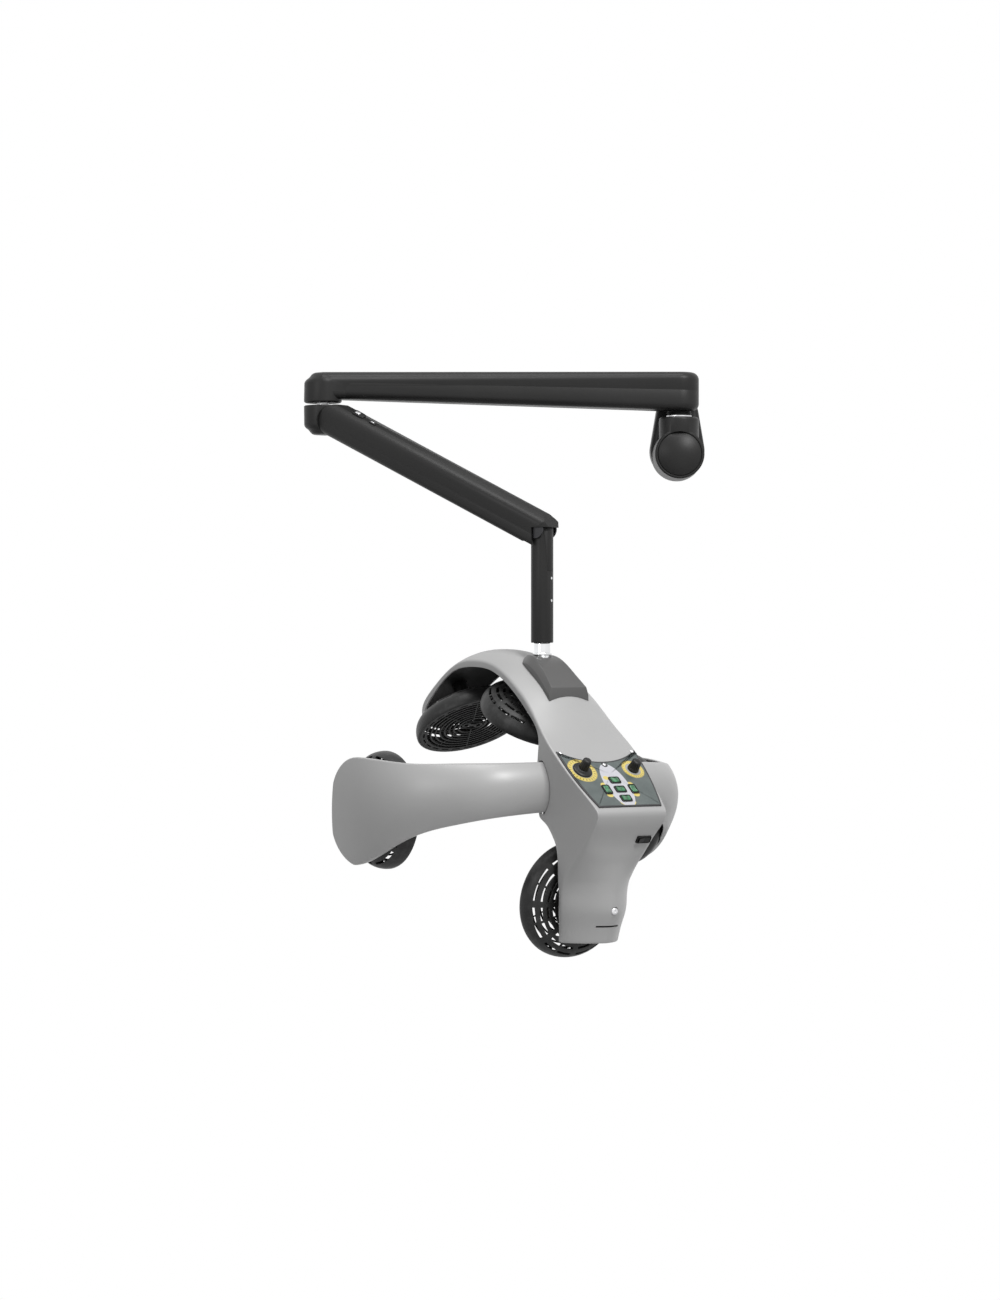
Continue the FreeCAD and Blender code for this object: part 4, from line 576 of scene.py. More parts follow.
def squared_ring(power, count=48):
    """Points of the curve |x|^p + |y|^p = 1 at even angles, as x and y."""
    turn = circle(count)
    ring = np.stack([np.cos(turn), np.sin(turn)])
    return ring * (np.abs(ring) ** power).sum(0) ** (-1 / power)


def columns(rows):
    """The columns of a table, each as a column vector."""
    return np.array(rows, float).T[..., None]


def arc_rise(across, half, crown):
    """Height over its chord of a circular arc of a given half width and crown."""
    radius = (half ** 2 + crown ** 2) / (2 * crown)
    return np.sqrt(np.maximum(radius ** 2 - across ** 2, 0)) - (radius - crown)


# ================================================================ head: backbone
# Stations along the head's middle plane, in its own millimetres: outer edge (y, z), crown,
# half width, inner edge (y, z) and half width, squareness of the front, share of a round
# front, and share of the crown that the inside is hollowed by.
BACKBONE = (
    (296.0, -458.0, 5.0, 24.0, 288.0, -461.0, 24.0, 6.0, 0.0, 0.75),
    (283.0, -432.0, 10.0, 36.0, 274.0, -437.0, 36.0, 6.0, 0.0, 0.75),
    (240.0, -401.0, 14.0, 46.0, 234.0, -408.0, 46.0, 6.0, 0.0, 0.75),
    (165.0, -362.0, 17.0, 52.0, 167.0, -371.0, 52.0, 6.0, 0.0, 0.75),
    (100.0, -354.0, 17.5, 57.0, 101.0, -364.0, 57.0, 6.0, 0.0, 0.75),
    (40.0, -363.0, 18.5, 59.0, 44.0, -372.0, 59.0, 6.0, 0.0, 0.75),
    (-20.0, -394.5, 20.0, 62.0, -14.0, -403.0, 61.0, 6.0, 0.0, 0.75),
    (-57.0, -421.0, 19.0, 65.0, -50.5, -429.0, 64.0, 6.0, 0.0, 0.75),
    (-93.0, -453.0, 13.0, 70.0, -86.0, -461.0, 68.5, 6.0, 0.0, 0.75),
    (-136.0, -488.0, 4.0, 75.0, -90.0, -500.0, 71.0, 6.0, 0.0, 0.0),
    (-186.0, -532.5, 1.0, 70.0, -91.0, -545.0, 71.0, 6.0, 0.0, 0.0),
    (-228.0, -570.0, 1.0, 63.0, -92.0, -578.0, 70.0, 6.0, 0.5, 0.0),
    (-232.0, -579.0, 0.5, 62.0, -92.5, -586.0, 69.0, 6.0, 1.0, 0.0),
    (-224.0, -592.0, 3.5, 61.0, -100.0, -595.0, 64.5, 6.0, 1.0, 0.0),
    (-204.0, -607.0, 13.0, 60.0, -108.0, -608.0, 60.0, 6.0, 1.0, 0.0),
    (-178.0, -627.0, 26.5, 58.5, -115.5, -627.0, 56.0, 5.0, 1.0, 0.0),
    (-162.0, -641.0, 37.5, 58.0, -118.0, -641.0, 55.0, 3.8, 1.0, 0.0),
    (-149.0, -655.0, 46.0, 57.5, -119.5, -655.0, 55.0, 3.1, 1.0, 0.0),
    (-136.0, -680.0, 55.0, 57.0, -122.0, -680.0, 56.0, 2.1, 1.0, 0.0),
    (-131.0, -702.0, 58.5, 57.0, -124.0, -702.0, 56.0, 1.95, 1.0, 0.0),
    (-129.5, -724.0, 59.0, 56.0, -121.0, -724.0, 54.5, 1.9, 1.0, 0.0),
    (-126.0, -746.0, 51.0, 52.0, -117.0, -746.0, 51.0, 2.0, 1.0, 0.0),
    (-121.0, -772.0, 46.0, 49.0, -112.0, -772.0, 48.0, 2.0, 1.0, 0.0),
)
RIDGE = (0.06, 0.5)      # share of the column's front that is a ridge, above and below
RIDGE_FROM, RIDGE_GROWS = -625.0, 75.0    # where the ridge begins to grow, and over what height
LIP = 3.0                # moulded edge round the open side
LINER_SEAT = 4.6         # how deep the liner's seat is under the lip
SEAT_FROM, SEAT_GROWS = 5.0, 0.6          # how far from either end the seat begins
BACKBONE_ROUND = 2.5     # rounding of the tip and the foot
CORNER_ROUND, COLUMN_ROUND = 3.0, 0.4     # rounding of the long edges over the head and below
LINER_LOW, LINER_HIGH, LINER_FOLLOWS = 0.9, 3.3, 0.93


def backbone_rows(step=4.0):
    """The backbone's stations at even steps, as named columns."""
    names = ("y", "z", "crown", "half", "back_y", "back_z", "back_half",
             "square", "round", "hollow")
    rows, places, length = walk(BACKBONE, even(step, BACKBONE_ROUND), range(7))
    out = dict(zip(names, rows.T))
    out["from_end"] = np.minimum(places, length - places)
    out["inset"] = end_inset(out["from_end"], BACKBONE_ROUND)
    return out


def on_backbone(rows, section):
    """Section points (across, out from the inner edge) carried to their stations.

    A point stands at the inner edge plus its distance along the unit vector from the inner
    edge to the outer edge.
    """
    way = unit(pair(rows["y"] - rows["back_y"], rows["z"] - rows["back_z"]))
    x, out = section[..., 0], section[..., 1]
    y = rows["back_y"][:, None] + out * way[:, :1]
    z = rows["back_z"][:, None] + out * way[:, 1:]
    return head_points(x, y, z)


def front_height(rows, across):
    """Height of the front over the line between its edges.

    Over the head it is a circular arc; down the column it is a superellipse,
    (1 - t^p)^(1/p) of the crown, with a share of a ridge, 1 - t^1.4, that grows downwards, t
    running from 0 at the middle to 1 at the edge.
    """
    half, crown = rows["half"][:, None], np.maximum(rows["crown"][:, None], 0.2)
    share = np.clip(np.abs(across) / half, 0, 1)
    power = rows["square"][:, None]
    fall = np.clip((RIDGE_FROM - rows["z"][:, None]) / RIDGE_GROWS, 0, 1)
    ridge = RIDGE[0] + (RIDGE[1] - RIDGE[0]) * fall ** 2 * (3 - 2 * fall)
    squared = (1 - share ** power) ** (1 / power) * (1 - ridge) + (1 - share ** 1.4) * ridge
    weight = rows["round"][:, None]
    return arc_rise(across, half, crown) * (1 - weight) + crown * squared * weight


def backbone_skin():
    """One closed skin of arch, box and column.

    Each section is a crowned front, a rounded corner, a straight side and, on the open side,
    a narrow lip round the seat of the liner.
    """
    rows = backbone_rows()
    deep = np.hypot(rows["y"] - rows["back_y"], rows["z"] - rows["back_z"])
    soft = (CORNER_ROUND - COLUMN_ROUND) * (1 - rows["round"]) + COLUMN_ROUND
    reach = 1 - soft / rows["half"]
    across = np.sin(np.linspace(0, np.pi / 2, 30))[None] * (reach * rows["half"])[:, None]
    front = np.stack([across, deep[:, None] + front_height(rows, across)], -1)
    corner = pair(rows["half"], deep)
    down = corner + (pair(rows["back_half"], 0) - corner) * (soft / deep)[:, None]
    edge = rows["back_half"]
    open_side = np.clip((rows["from_end"] - SEAT_FROM) / SEAT_GROWS, 0, 1)
    seat = LINER_SEAT * open_side
    roof_x = np.linspace(1, 0, 12)[None] * (edge - LIP)[:, None]
    rise = (rows["hollow"] * rows["crown"] * open_side)[:, None]
    roof = np.stack([roof_x, seat[:, None] + rise * (1 - (roof_x / (edge - LIP)[:, None]) ** 2)],
                    -1)
    half = np.concatenate([
        front,
        bend_between(front[:, -1], corner, down, 5),
        straight(down, pair(edge, 0.7), 9),
        pair(edge, 0.7)[:, None], pair(edge - 0.25, 0.2)[:, None], pair(edge - 0.7, 0)[:, None],
        pair(edge - LIP + 0.5, 0)[:, None], pair(edge - LIP, 0.5 * open_side)[:, None],
        roof,
    ], 1)
    middle = pair(0, (deep + rows["crown"]) / 2)[:, None]
    size = pair(rows["half"], (deep + rows["crown"]) / 2)
    half = middle + (half - middle) * (1 - rows["inset"][:, None] / size)[:, None]
    return closed(on_backbone(rows, mirrored_loop(half)))


def liner_skin():
    """Thin shell in the backbone's seat, hollowed over the head and flat behind the neck."""
    rows = backbone_rows(6.0)
    inside = rows["from_end"] > SEAT_FROM + SEAT_GROWS
    rows = {name: column[inside] for name, column in rows.items()}
    reach = rows["back_half"] - LIP - 0.5
    across = np.linspace(0, 1, 16)[None] * reach[:, None]
    rise = rows["hollow"] * rows["crown"] * LINER_FOLLOWS
    rise = rise[:, None] * (1 - (across / reach[:, None]) ** 2)
    low = np.stack([across, LINER_LOW + rise], -1)
    high = np.stack([across, LINER_HIGH + rise], -1)[:, ::-1]
    return closed(on_backbone(rows, mirrored_loop(np.concatenate([low, high], 1))))


# ================================================================ head: panel
PANEL_TOP = np.array([0.0, -137.7, -488.8])
PANEL_FOOT = np.array([0.0, -226.8, -568.1])
PANEL_UP = unit(PANEL_TOP - PANEL_FOOT)
PANEL_OUT = np.array([0.0, -PANEL_UP[2], PANEL_UP[1]])
PANEL_HALF_TOP, PANEL_HALF_FOOT = 71.0, 56.5
PANEL_BOW, PANEL_DIP, PANEL_T = 4.5, 24.0, 2.0
PANEL_LONG = float(np.linalg.norm(PANEL_TOP - PANEL_FOOT))


def on_panel(x, up, out):
    """Panel's own millimetres (across, up the slope, out of it) to the row frame."""
    x, up, out = np.broadcast_arrays(*(np.asarray(v, float) for v in (x, up, out)))
    places = (PANEL_TOP + x[..., None] * np.array([1.0, 0, 0]) + up[..., None] * PANEL_UP
              + out[..., None] * PANEL_OUT)
    return head_points(places[..., 0], places[..., 1], places[..., 2])


def three_point_arc(start, middle, end, count):
    """Points of the circle through three points of a plane, from start, without the end."""
    (ax, ay), (bx, by), (cx, cy) = start, middle, end
    area = 2 * (ax * (by - cy) + bx * (cy - ay) + cx * (ay - by))
    ux = ((ax * ax + ay * ay) * (by - cy) + (bx * bx + by * by) * (cy - ay)
          + (cx * cx + cy * cy) * (ay - by)) / area
    uy = ((ax * ax + ay * ay) * (cx - bx) + (bx * bx + by * by) * (ax - cx)
          + (cx * cx + cy * cy) * (bx - ax)) / area
    radius = math.hypot(ax - ux, ay - uy)
    first = math.atan2(ay - uy, ax - ux)
    sweep = math.atan2(cy - uy, cx - ux) - first
    inside = math.atan2(by - uy, bx - ux) - first
    sweep, inside = sweep % (2 * math.pi), inside % (2 * math.pi)
    if inside > sweep:
        sweep -= 2 * math.pi
    turn = first + sweep * np.linspace(0, 1, count, endpoint=False)
    return np.stack([ux + radius * np.cos(turn), uy + radius * np.sin(turn)], 1)


def panel_outline(grow):
    """Outline of the plate: arched top edge, bowed sides and a straight foot."""
    top, foot, long = PANEL_HALF_TOP + grow, PANEL_HALF_FOOT + grow, PANEL_LONG + grow
    bow = (top + foot) / 2 + PANEL_BOW
    foot_line = np.linspace([foot, -long], [-foot, -long], 12)[1:-1]
    return np.concatenate([
        three_point_arc((-top, grow), (0, grow - PANEL_DIP), (top, grow), 40),
        three_point_arc((top, grow), (bow, -long / 2), (foot, -long), 24),
        [[foot, -long]], foot_line,
        three_point_arc((-foot, -long), (-bow, -long / 2), (-top, grow), 24),
    ])


def prism(outline, low, high):
    """Closed prism of an outline in the panel's frame, between two heights."""
    return closed(np.stack([on_panel(*outline.T, level) for level in (low, high)]))


# ================================================================ side arms
# Stations in plan along an arm's outer edge, in the head's millimetres: x, y, crown,
# top z, foot z, and how far the liner follows the crown.
SIDE_ARM = np.array((
    (54.0, -108.8, 15.0, -503.9, -577.6, 0.05),
    (66.0, -106.5, 15.0, -504.0, -578.5, 0.05),
    (139.0, -92.2, 17.0, -505.0, -585.0, 0.05),
    (196.0, -53.6, 18.0, -505.5, -597.0, 0.5),
    (240.0, 1.4, 15.0, -506.0, -617.5, 0.8),
    (263.5, 80.3, 12.5, -500.0, -655.0, 0.85),
    (263.0, 168.0, 9.2, -499.0, -662.7, 0.85),
))
ARM_DEPTH = 6.5
ARM_END_Y, ARM_END_ROUND, ARM_END_SPARE = 168.0, 62.0, 6.0
ARM_ROOT_X, ARM_TIP_X = 66.0, 263.0
ARM_HINGE = np.array([66.5, -105.0])
ARM_SAG = {-1: 0.0, 1: 9.0}        # the right arm's end hangs lower
ARM_TURN = {-1: 0.0, 1: math.radians(1.0)}
ARM_ROUND, ARM_CORNER = 2.4, 2.2
ARM_END_POWERS = (2.2, 1.75)       # the end's outline above and below its middle
ARM_SEAT, ARM_FOLLOWS = 3.0, 0.8   # depth of the liner's seat, and its share of the crown
ARM_LINER_T, ARM_LINER_GAP, ARM_LINER_X = 2.4, 0.4, 84.0
ARM_ROOT_LONG, ARM_ROOT_GAP, ARM_ROOT_IN = 44.0, 2.1, 4.0


def on_arm(side, places):
    """An arm's points, drawn for the right side, mirrored or turned about the hinge."""
    x, y, z = places[..., 0] * side, places[..., 1], places[..., 2]
    c, s = math.cos(ARM_TURN[side]), math.sin(ARM_TURN[side])
    hx, hy = side * ARM_HINGE[0], ARM_HINGE[1]
    return head_points(hx + (x - hx) * c - (y - hy) * s, hy + (x - hx) * s + (y - hy) * c, z)


def arm_places(length):
    """Distances along an arm: even, then as the sine along its round end."""
    turn = np.linspace(0, np.pi / 2, 30)
    return np.concatenate([np.linspace(0, length - ARM_END_ROUND, 64)[:-1],
                           length - ARM_END_ROUND * (1 - np.sin(turn))])


def arm_rows(side, places=arm_places):
    """An arm's stations with its way out in plan and the height left by its round end."""
    rows, distance, length = walk(SIDE_ARM, places, range(5))
    out = dict(zip(("x", "y", "crown", "top", "foot", "share"), rows.T))
    sag = ARM_SAG[side] * np.clip((out["x"] - ARM_ROOT_X) / (ARM_TIP_X - ARM_ROOT_X), 0, 1)
    out["top"], out["foot"] = out["top"] - sag, out["foot"] - sag
    out["way"] = across_line(unit(pair(np.gradient(out["x"]), np.gradient(out["y"]))))
    past = np.clip(out["y"] - (ARM_END_Y - ARM_END_ROUND), 0, ARM_END_ROUND)
    lost_high, lost_low = ((ARM_END_ROUND - ARM_END_SPARE)
                           * (1 - (1 - (past / ARM_END_ROUND) ** power) ** (1 / power))
                           for power in ARM_END_POWERS)
    tip_top, tip_foot = SIDE_ARM[-1, 3] - ARM_SAG[side], SIDE_ARM[-1, 4] - ARM_SAG[side]
    out["high"] = np.minimum(out["top"], tip_top - lost_high)
    out["low"] = np.maximum(out["foot"], tip_foot + lost_low)
    out["inset"] = end_inset(length - distance, ARM_ROUND)
    return out


def on_side_arm(side, rows, section):
    """Section points (height, out from the inner face) carried to their stations."""
    height, out = section[..., 0], section[..., 1] - ARM_DEPTH
    x = rows["x"][:, None] + out * rows["way"][:, :1]
    y = rows["y"][:, None] + out * rows["way"][:, 1:]
    return on_arm(side, np.stack([x, y, height], -1))


def arm_front(rows, height, crown):
    """Circular arc between an arm's top and foot, read at a height."""
    middle, half = (rows["top"] + rows["foot"]) / 2, (rows["top"] - rows["foot"]) / 2
    return arc_rise(height - middle[:, None], half[:, None], np.maximum(crown, 0.05)[:, None])


def arm_half(rows, limit, middle):
    """Half an arm's section, from the middle of its front over one edge to its back's middle.

    Front on a circular arc, a rounded corner, a straight edge wall, the lip, and the seat
    that follows the liner.
    """
    sign = np.sign(limit - middle)
    soft = np.full_like(limit, ARM_CORNER)
    share = np.sin(np.linspace(0, np.pi / 2, 22))[None]
    height = middle[:, None] + (limit - sign * soft - middle)[:, None] * share
    front = np.stack([height, ARM_DEPTH + arm_front(rows, height, rows["crown"])], -1)
    edge = ARM_DEPTH + arm_front(rows, limit[:, None], rows["crown"])[:, 0]
    corner = pair(limit, edge)
    down = pair(limit, edge - soft)
    lip = limit - sign * LIP
    roof_height = lip[:, None] + (middle - lip)[:, None] * np.linspace(0, 1, 12)[None]
    roof = (rows["share"] * ARM_FOLLOWS + ARM_SEAT)[:, None] + arm_front(
        rows, roof_height, rows["crown"] * rows["share"])
    return np.concatenate([
        front, bend_between(front[:, -1], corner, down, 5),
        straight(down, pair(limit, 0.6), 4),
        pair(limit, 0.6)[:, None], pair(limit - sign * 0.2, 0.2)[:, None],
        pair(limit - sign * 0.6, 0)[:, None], pair(lip + sign * 0.5, 0)[:, None],
        pair(lip, 0.5)[:, None], np.stack([roof_height, roof], -1),
    ], 1)


def arm_skin(side):
    """Closed skin of a side arm, thinned towards its rounded end."""
    rows = arm_rows(side)
    middle = (rows["high"] + rows["low"]) / 2
    above = arm_half(rows, rows["high"], middle)
    below = arm_half(rows, rows["low"], middle)
    section = np.concatenate([above, below[:, -2:0:-1]], 1)
    centre = pair(middle, ARM_DEPTH / 2 + 2)[:, None]
    size = pair((rows["high"] - rows["low"]) / 2, ARM_DEPTH / 2 + 2)
    section = centre + (section - centre) * (1 - rows["inset"][:, None] / size)[:, None]
    return closed(on_side_arm(side, rows, section))


def arm_liner_skin(side):
    """Thin plate in an arm's seat, flat at the root and hollowed behind the heater."""
    rows = arm_rows(side)
    inside = (rows["x"] > ARM_LINER_X) & (rows["y"] < ARM_END_Y - LIP - 1.5)
    rows = {name: column[inside] for name, column in rows.items()}
    low, high = rows["low"] + LIP + ARM_LINER_GAP, rows["high"] - LIP - ARM_LINER_GAP
    height = low[:, None] + (high - low)[:, None] * np.linspace(0, 1, 24)[None]
    inner = (rows["share"] * ARM_FOLLOWS)[:, None] + arm_front(
        rows, height, rows["crown"] * rows["share"])
    section = np.concatenate([np.stack([height, inner], -1),
                              np.stack([height, inner + ARM_LINER_T], -1)[:, ::-1]], 1)
    return closed(on_side_arm(side, rows, section))


def arm_pocket(side):
    """Room for an arm's root in the backbone, with a gap all round it."""
    rows = arm_rows(side, lambda length: np.linspace(0, ARM_ROOT_LONG, 12))
    rows["x"] = rows["x"] - ARM_ROOT_IN
    low, high = rows["low"] - ARM_ROOT_GAP, rows["high"] + ARM_ROOT_GAP
    height = low[:, None] + (high - low)[:, None] * np.linspace(0, 1, 20)[None]
    front = ARM_DEPTH + ARM_ROOT_GAP + arm_front(rows, height, rows["crown"])
    front = np.stack([height, front], -1)
    back = np.stack([height, np.full_like(height, -3.0)], -1)[:, ::-1]
    return closed(on_side_arm(side, rows, np.concatenate([front, back], 1)))


# ================================================================ heaters
def axes_from(back):
    """Turn matrix that brings Z to a direction by the least turn (Rodrigues' formula).

    With K the cross product matrix of Z and the direction it is 1 + K + K K / (1 + z).
    """
    z = unit(np.asarray(back, float))
    cross = np.array([-z[1], z[0], 0.0])
    skew = np.array([[0, -cross[2], cross[1]], [cross[2], 0, -cross[0]],
                     [-cross[1], cross[0], 0]])
    return np.eye(3) + skew + skew @ skew / (1 + z[2])


class Heater:
    """Where one heater stands: its front's centre, the way to its back, and who carries it."""

    def __init__(self, name, centre, back, carry, body):
        self.name, self.centre, self.carry, self.body = name, np.asarray(centre), carry, body
        self.turn = axes_from(back)

    def place(self, local):
        """The heater's own millimetres (X, Y across, Z towards the back) to the row frame."""
        return self.carry(self.centre + local @ self.turn.T)

    def lathe(self, skin, profile, count=96, phase=0.0, middle=0.0, **how):
        """Profile of (radius, depth) points carried round an axis `middle` off the heater's."""
        turn = circle(count) + phase
        radius, depth = profile[:, :1], profile[:, 1:]
        local = np.stack([middle + radius * np.cos(turn), radius * np.sin(turn),
                          depth + 0 * turn], -1)
        return skin.grid(self.place(local), around=True, **how)

    def bar(self, skin, start, end, wide, low, high):
        """Flat bar with bevelled top edges between two points of the front."""
        start, end = np.asarray(start, float), np.asarray(end, float)
        along = unit(end - start)
        across = np.array([-along[1], along[0]]) * wide / 2
        rim = 0.3 * min(wide, high - low)
        ring = [(-1, high), (-1, low + rim), (-1 + 2 * rim / wide, low), (1 - 2 * rim / wide, low),
                (1, low + rim), (1, high)]
        rows = [np.array([[*(point + across * s), z] for s, z in ring]) for point in (start, end)]
        return skin.grid(self.place(np.stack(rows)), around=True, capped=True)


def in_head(places):
    """Head's millimetres to the row frame, for points in one array."""
    return head_points(places[..., 0], places[..., 1], places[..., 2])


def tilted(degrees):
    """Way to a heater's back, leaning from straight up to the forehead or, below 0, the nape."""
    return 0.0, math.sin(math.radians(degrees)), math.cos(math.radians(degrees))


def side_heater(name, side):
    """A heater that a side arm carries; its place is drawn for the right arm."""
    return Heater(name, (219.0, 90.0, -578.5 - ARM_SAG[side]), (1.0, 0.0, 0.0),
                  lambda places: on_arm(side, places), name + "_arm")


HEATERS = (
    Heater("forehead", (0, 192.0, -456.0), tilted(30.0), in_head, "head"),
    Heater("crown", (0, 17.0, -444.0), tilted(-29.0), in_head, "head"),
    Heater("nape", (0, -68.0, -711.0), tilted(-99.5), in_head, "head"),
    side_heater("left", -1),
    side_heater("right", 1),
)
# Outside of a dish, from its front lip over the shoulder to the middle of its back.
DISH = np.array((
    (85.9, 0.0), (87.0, 0.0), (88.3, 0.9), (88.9, 2.6), (89.0, 6.0), (88.4, 11.0), (86.8, 16.5),
    (84.0, 21.5), (80.0, 26.0), (74.6, 29.6), (68.0, 32.4), (60.0, 34.4), (50.0, 35.6),
    (40.0, 36.0), (25.0, 36.0), (12.0, 36.0), (0.0, 36.0),
))
DISH_WALL = 2.2
VENT_RINGS = (80.0, 69.5, 59.5, 49.5, 39.5, 29.5)
VENT_HALF = 2.2
VENT_COLUMNS, VENT_SECTOR = 144, 18
DISH_GAP = 1.2                      # clearance round a dish in an arm
GUARD_RINGS = (22.5, 30.0, 37.5, 45.0, 52.5, 60.0, 67.5)
GUARD_T, GUARD_WIRE = 2.4, 1.35     # thickness and half a ring's width
FLANGE = np.array([(73.6, GUARD_T), (73.6, 0.5), (74.1, 0.0), (77.4, 0.0), (80.2, 0.0),
                   (85.2, 0.0), (85.7, 0.5), (85.7, GUARD_T)])
FLANGE_COLUMNS, FLANGE_T = 144, 0.9
HUB_AT, HUB_RADIUS = 11.0, 10.2
TUBE_RING, TUBE_DEPTH, TUBE_RADIUS = 46.0, 14.0, 4.0


def dish_profile():
    """The dish's outline, finely divided, and the places along it where vents begin and end."""
    steps = distances(DISH)
    fine = spline(steps, DISH, np.linspace(0, steps[-1], 1200))
    reach = distances(fine)
    back = fine[:, 1] > 20
    centres = [float(np.interp(-r, -fine[back, 0], reach[back])) for r in VENT_RINGS]
    edges = np.sort(np.concatenate([[c - VENT_HALF, c + VENT_HALF] for c in centres]))
    plain = np.arange(0, reach[-1], 2.6)
    far = np.abs(plain[:, None] - edges[None]).min(1) > 1.1
    places = np.sort(np.concatenate([plain[far], edges, [reach[-1]]]))
    middle = (places[:-1] + places[1:]) / 2
    vent = (np.abs(middle[:, None] - np.array(centres)[None]).min(1) < VENT_HALF)
    return np.stack([np.interp(places, reach, fine[:, k]) for k in (0, 1)], 1), vent


def heater_housing(heater):
    """Dish with rings of arc-shaped vents in its back, cut where grid lines run.

    Every eighth of a turn has a wide bridge and a thin one between two arcs.
    """
    profile, vent = dish_profile()
    column = np.arange(VENT_COLUMNS) % VENT_SECTOR
    arc = (column > 2) & (column != 10)
    skin = heater.lathe(Skin(), profile, VENT_COLUMNS, phase=-3 * math.pi / VENT_COLUMNS,
                        keep=~(vent[:, None] & arc[None]))
    return walled(loose(heater.name + "_dish", skin), DISH_WALL)


def dish_room(heater):
    """Closed solid of the dish grown by a clearance."""
    profile = DISH.copy()
    profile[:, 0] += DISH_GAP * (profile[:, 0] > 40)
    profile[:, 1] += DISH_GAP * (profile[:, 1] > 20)
    profile = np.concatenate([[[0.01, -6.0], [84.5, -6.0]], profile[2:-1], [[0.01, 37.2]]])
    return heater.lathe(Skin(), profile, 96)


def ring_profile(inner, outer, low, high, soft):
    """Closed outline of a flat ring with rounded front edges."""
    return np.array([(inner, high), (inner, low + soft), (inner + soft * 0.3, low + soft * 0.3),
                     (inner + soft, low), (outer - soft, low),
                     (outer - soft * 0.3, low + soft * 0.3), (outer, low + soft), (outer, high)])


def heater_guard(heater):
    """Front guard: slotted flange, thin rings, spokes and a long hub with two round ends."""
    skin = Skin()
    keep = np.ones((len(FLANGE) - 1, FLANGE_COLUMNS), bool)
    keep[3] = np.arange(FLANGE_COLUMNS) % 6 > 3
    plate = walled(loose("flange", heater.lathe(Skin(), FLANGE, FLANGE_COLUMNS, keep=keep)),
                   FLANGE_T)
    for radius in GUARD_RINGS:
        heater.lathe(skin, ring_profile(radius - GUARD_WIRE, radius + GUARD_WIRE, 0.2, GUARD_T,
                                        0.5), looped=True)
    for k in range(8):
        angle = math.radians(22.5 + 45 * k)
        way = np.array([math.cos(angle), math.sin(angle)])
        heater.bar(skin, way * (14.0 if k % 2 else 28.0), way * 74.2, 1.9, 0.1, GUARD_T - 0.2)
    for side in (-1, 1):
        heater.lathe(skin, ring_profile(3.6, 7.2, 0.0, GUARD_T + 1.2, 0.7), 40,
                     middle=side * HUB_AT, looped=True)
        heater.bar(skin, (side * 17.8, 0), (side * 21.0, 0), 3.0, 0.3, GUARD_T)
    heater.bar(skin, (-5.2, 0), (5.2, 0), 7.0, 0.1, GUARD_T)
    turn = circle(96)
    out, depth = columns(ring_profile(-0.9, 0.9, 0.4, GUARD_T, 0.5))
    out = out + HUB_RADIUS
    local = np.stack([HUB_AT * np.sign(np.cos(turn)) + out * np.cos(turn), out * np.sin(turn),
                      depth + 0 * turn], -1)
    skin.grid(heater.place(local), around=True, looped=True)
    guard = loose(heater.name + "_guard", skin)
    joined = bmesh.new()
    joined.from_mesh(guard.data)
    joined.from_mesh(plate.data)
    joined.to_mesh(guard.data)
    joined.free()
    bpy.data.objects.remove(plate, do_unlink=True)
    return guard


def heater_tube(heater):
    """Ring-shaped ceramic tube element on four clips, two rails and a bridge."""
    skin = Skin()
    turn = circle(20)
    heater.lathe(skin, np.stack([TUBE_RING + TUBE_RADIUS * np.cos(turn),
                                 TUBE_DEPTH + TUBE_RADIUS * np.sin(turn)], 1), looped=True)
    for side in (-1, 1):
        for across in (-5.0, 5.0):
            heater.bar(skin, (side * 41.0, across), (side * 51.5, across), 3.0, 8.5, 20.0)
        heater.bar(skin, (side * 9.0, 0), (side * 50.0, 0), 7.0, 16.5, 20.5)
    heater.bar(skin, (-11.0, 0), (11.0, 0), 18.0, 14.0, 33.4)
    return loose(heater.name + "_tube", skin)


# ================================================================ head: controls
DIAL_X, DIAL_DOWN = 46.0, 42.0
KNOBS = (          # name, across, radius, height, turn, grip's share of the radius
    ("timer_knob", -DIAL_X, 15.2, 21.0, -40.0, 0.50),
    ("power_knob", DIAL_X, 9.0, 17.0, 20.0, 0.9),
)
KEYS = (           # name, across, down, and whether it is turned a quarter
    ("crown", 0.0, 64.6, False), ("left", -23.7, 83.9, True), ("forehead", 0.0, 83.8, False),
    ("right", 23.7, 83.9, True), ("nape", 0.0, 103.1, False),
)
KEY_HALF, KEY_POWER = (7.4, 4.7), 6
KEY_ROOM, CORNERS = (10.25, 7.0), np.array([(-1, -1), (1, -1), (1, 1), (-1, 1)])
PANEL_GAP = 0.35
KEY_DOME = (       # share of the outline, height
    (1.0, -4.0), (1.0, 0.2), (0.985, 0.9), (0.94, 1.35), (0.86, 1.6), (0.72, 1.75),
    (0.5, 1.85), (0.25, 1.9), (0.0, 1.9),
)
KEY_FRAME = (      # half length, half width, height
    (7.8, 5.1, -0.5), (7.8, 5.1, 1.6), (8.2, 5.5, 2.1), (8.9, 6.0, 2.1), (9.4, 6.5, 1.7),
    (9.6, 6.7, 1.1), (9.6, 6.7, -0.5),
)
SWITCH_FRAME = (
    (12.0, 4.9, -3.0), (12.0, 4.9, 2.3), (12.3, 5.1, 2.8), (12.7, 5.4, 2.8), (13.0, 5.7, 2.3),
    (13.0, 5.7, -3.0),
)
SCREW_HEAD = (     # share of the radius, share of the height
    (1.0, -1.0), (1.0, 0.2), (0.9, 0.55), (0.75, 0.8), (0.55, 0.95), (0.42, 1.0), (0.36, 0.7),
    (0.34, 0.3), (0.1, 0.25),
)
PANEL_SCREWS = ((-65.0, 3.5), (65.0, 3.5), (0.0, 30.5))
NECK_SCREW_Z, NECK_FACE = -723.0, -188.5
SLOT_Z = -746.4
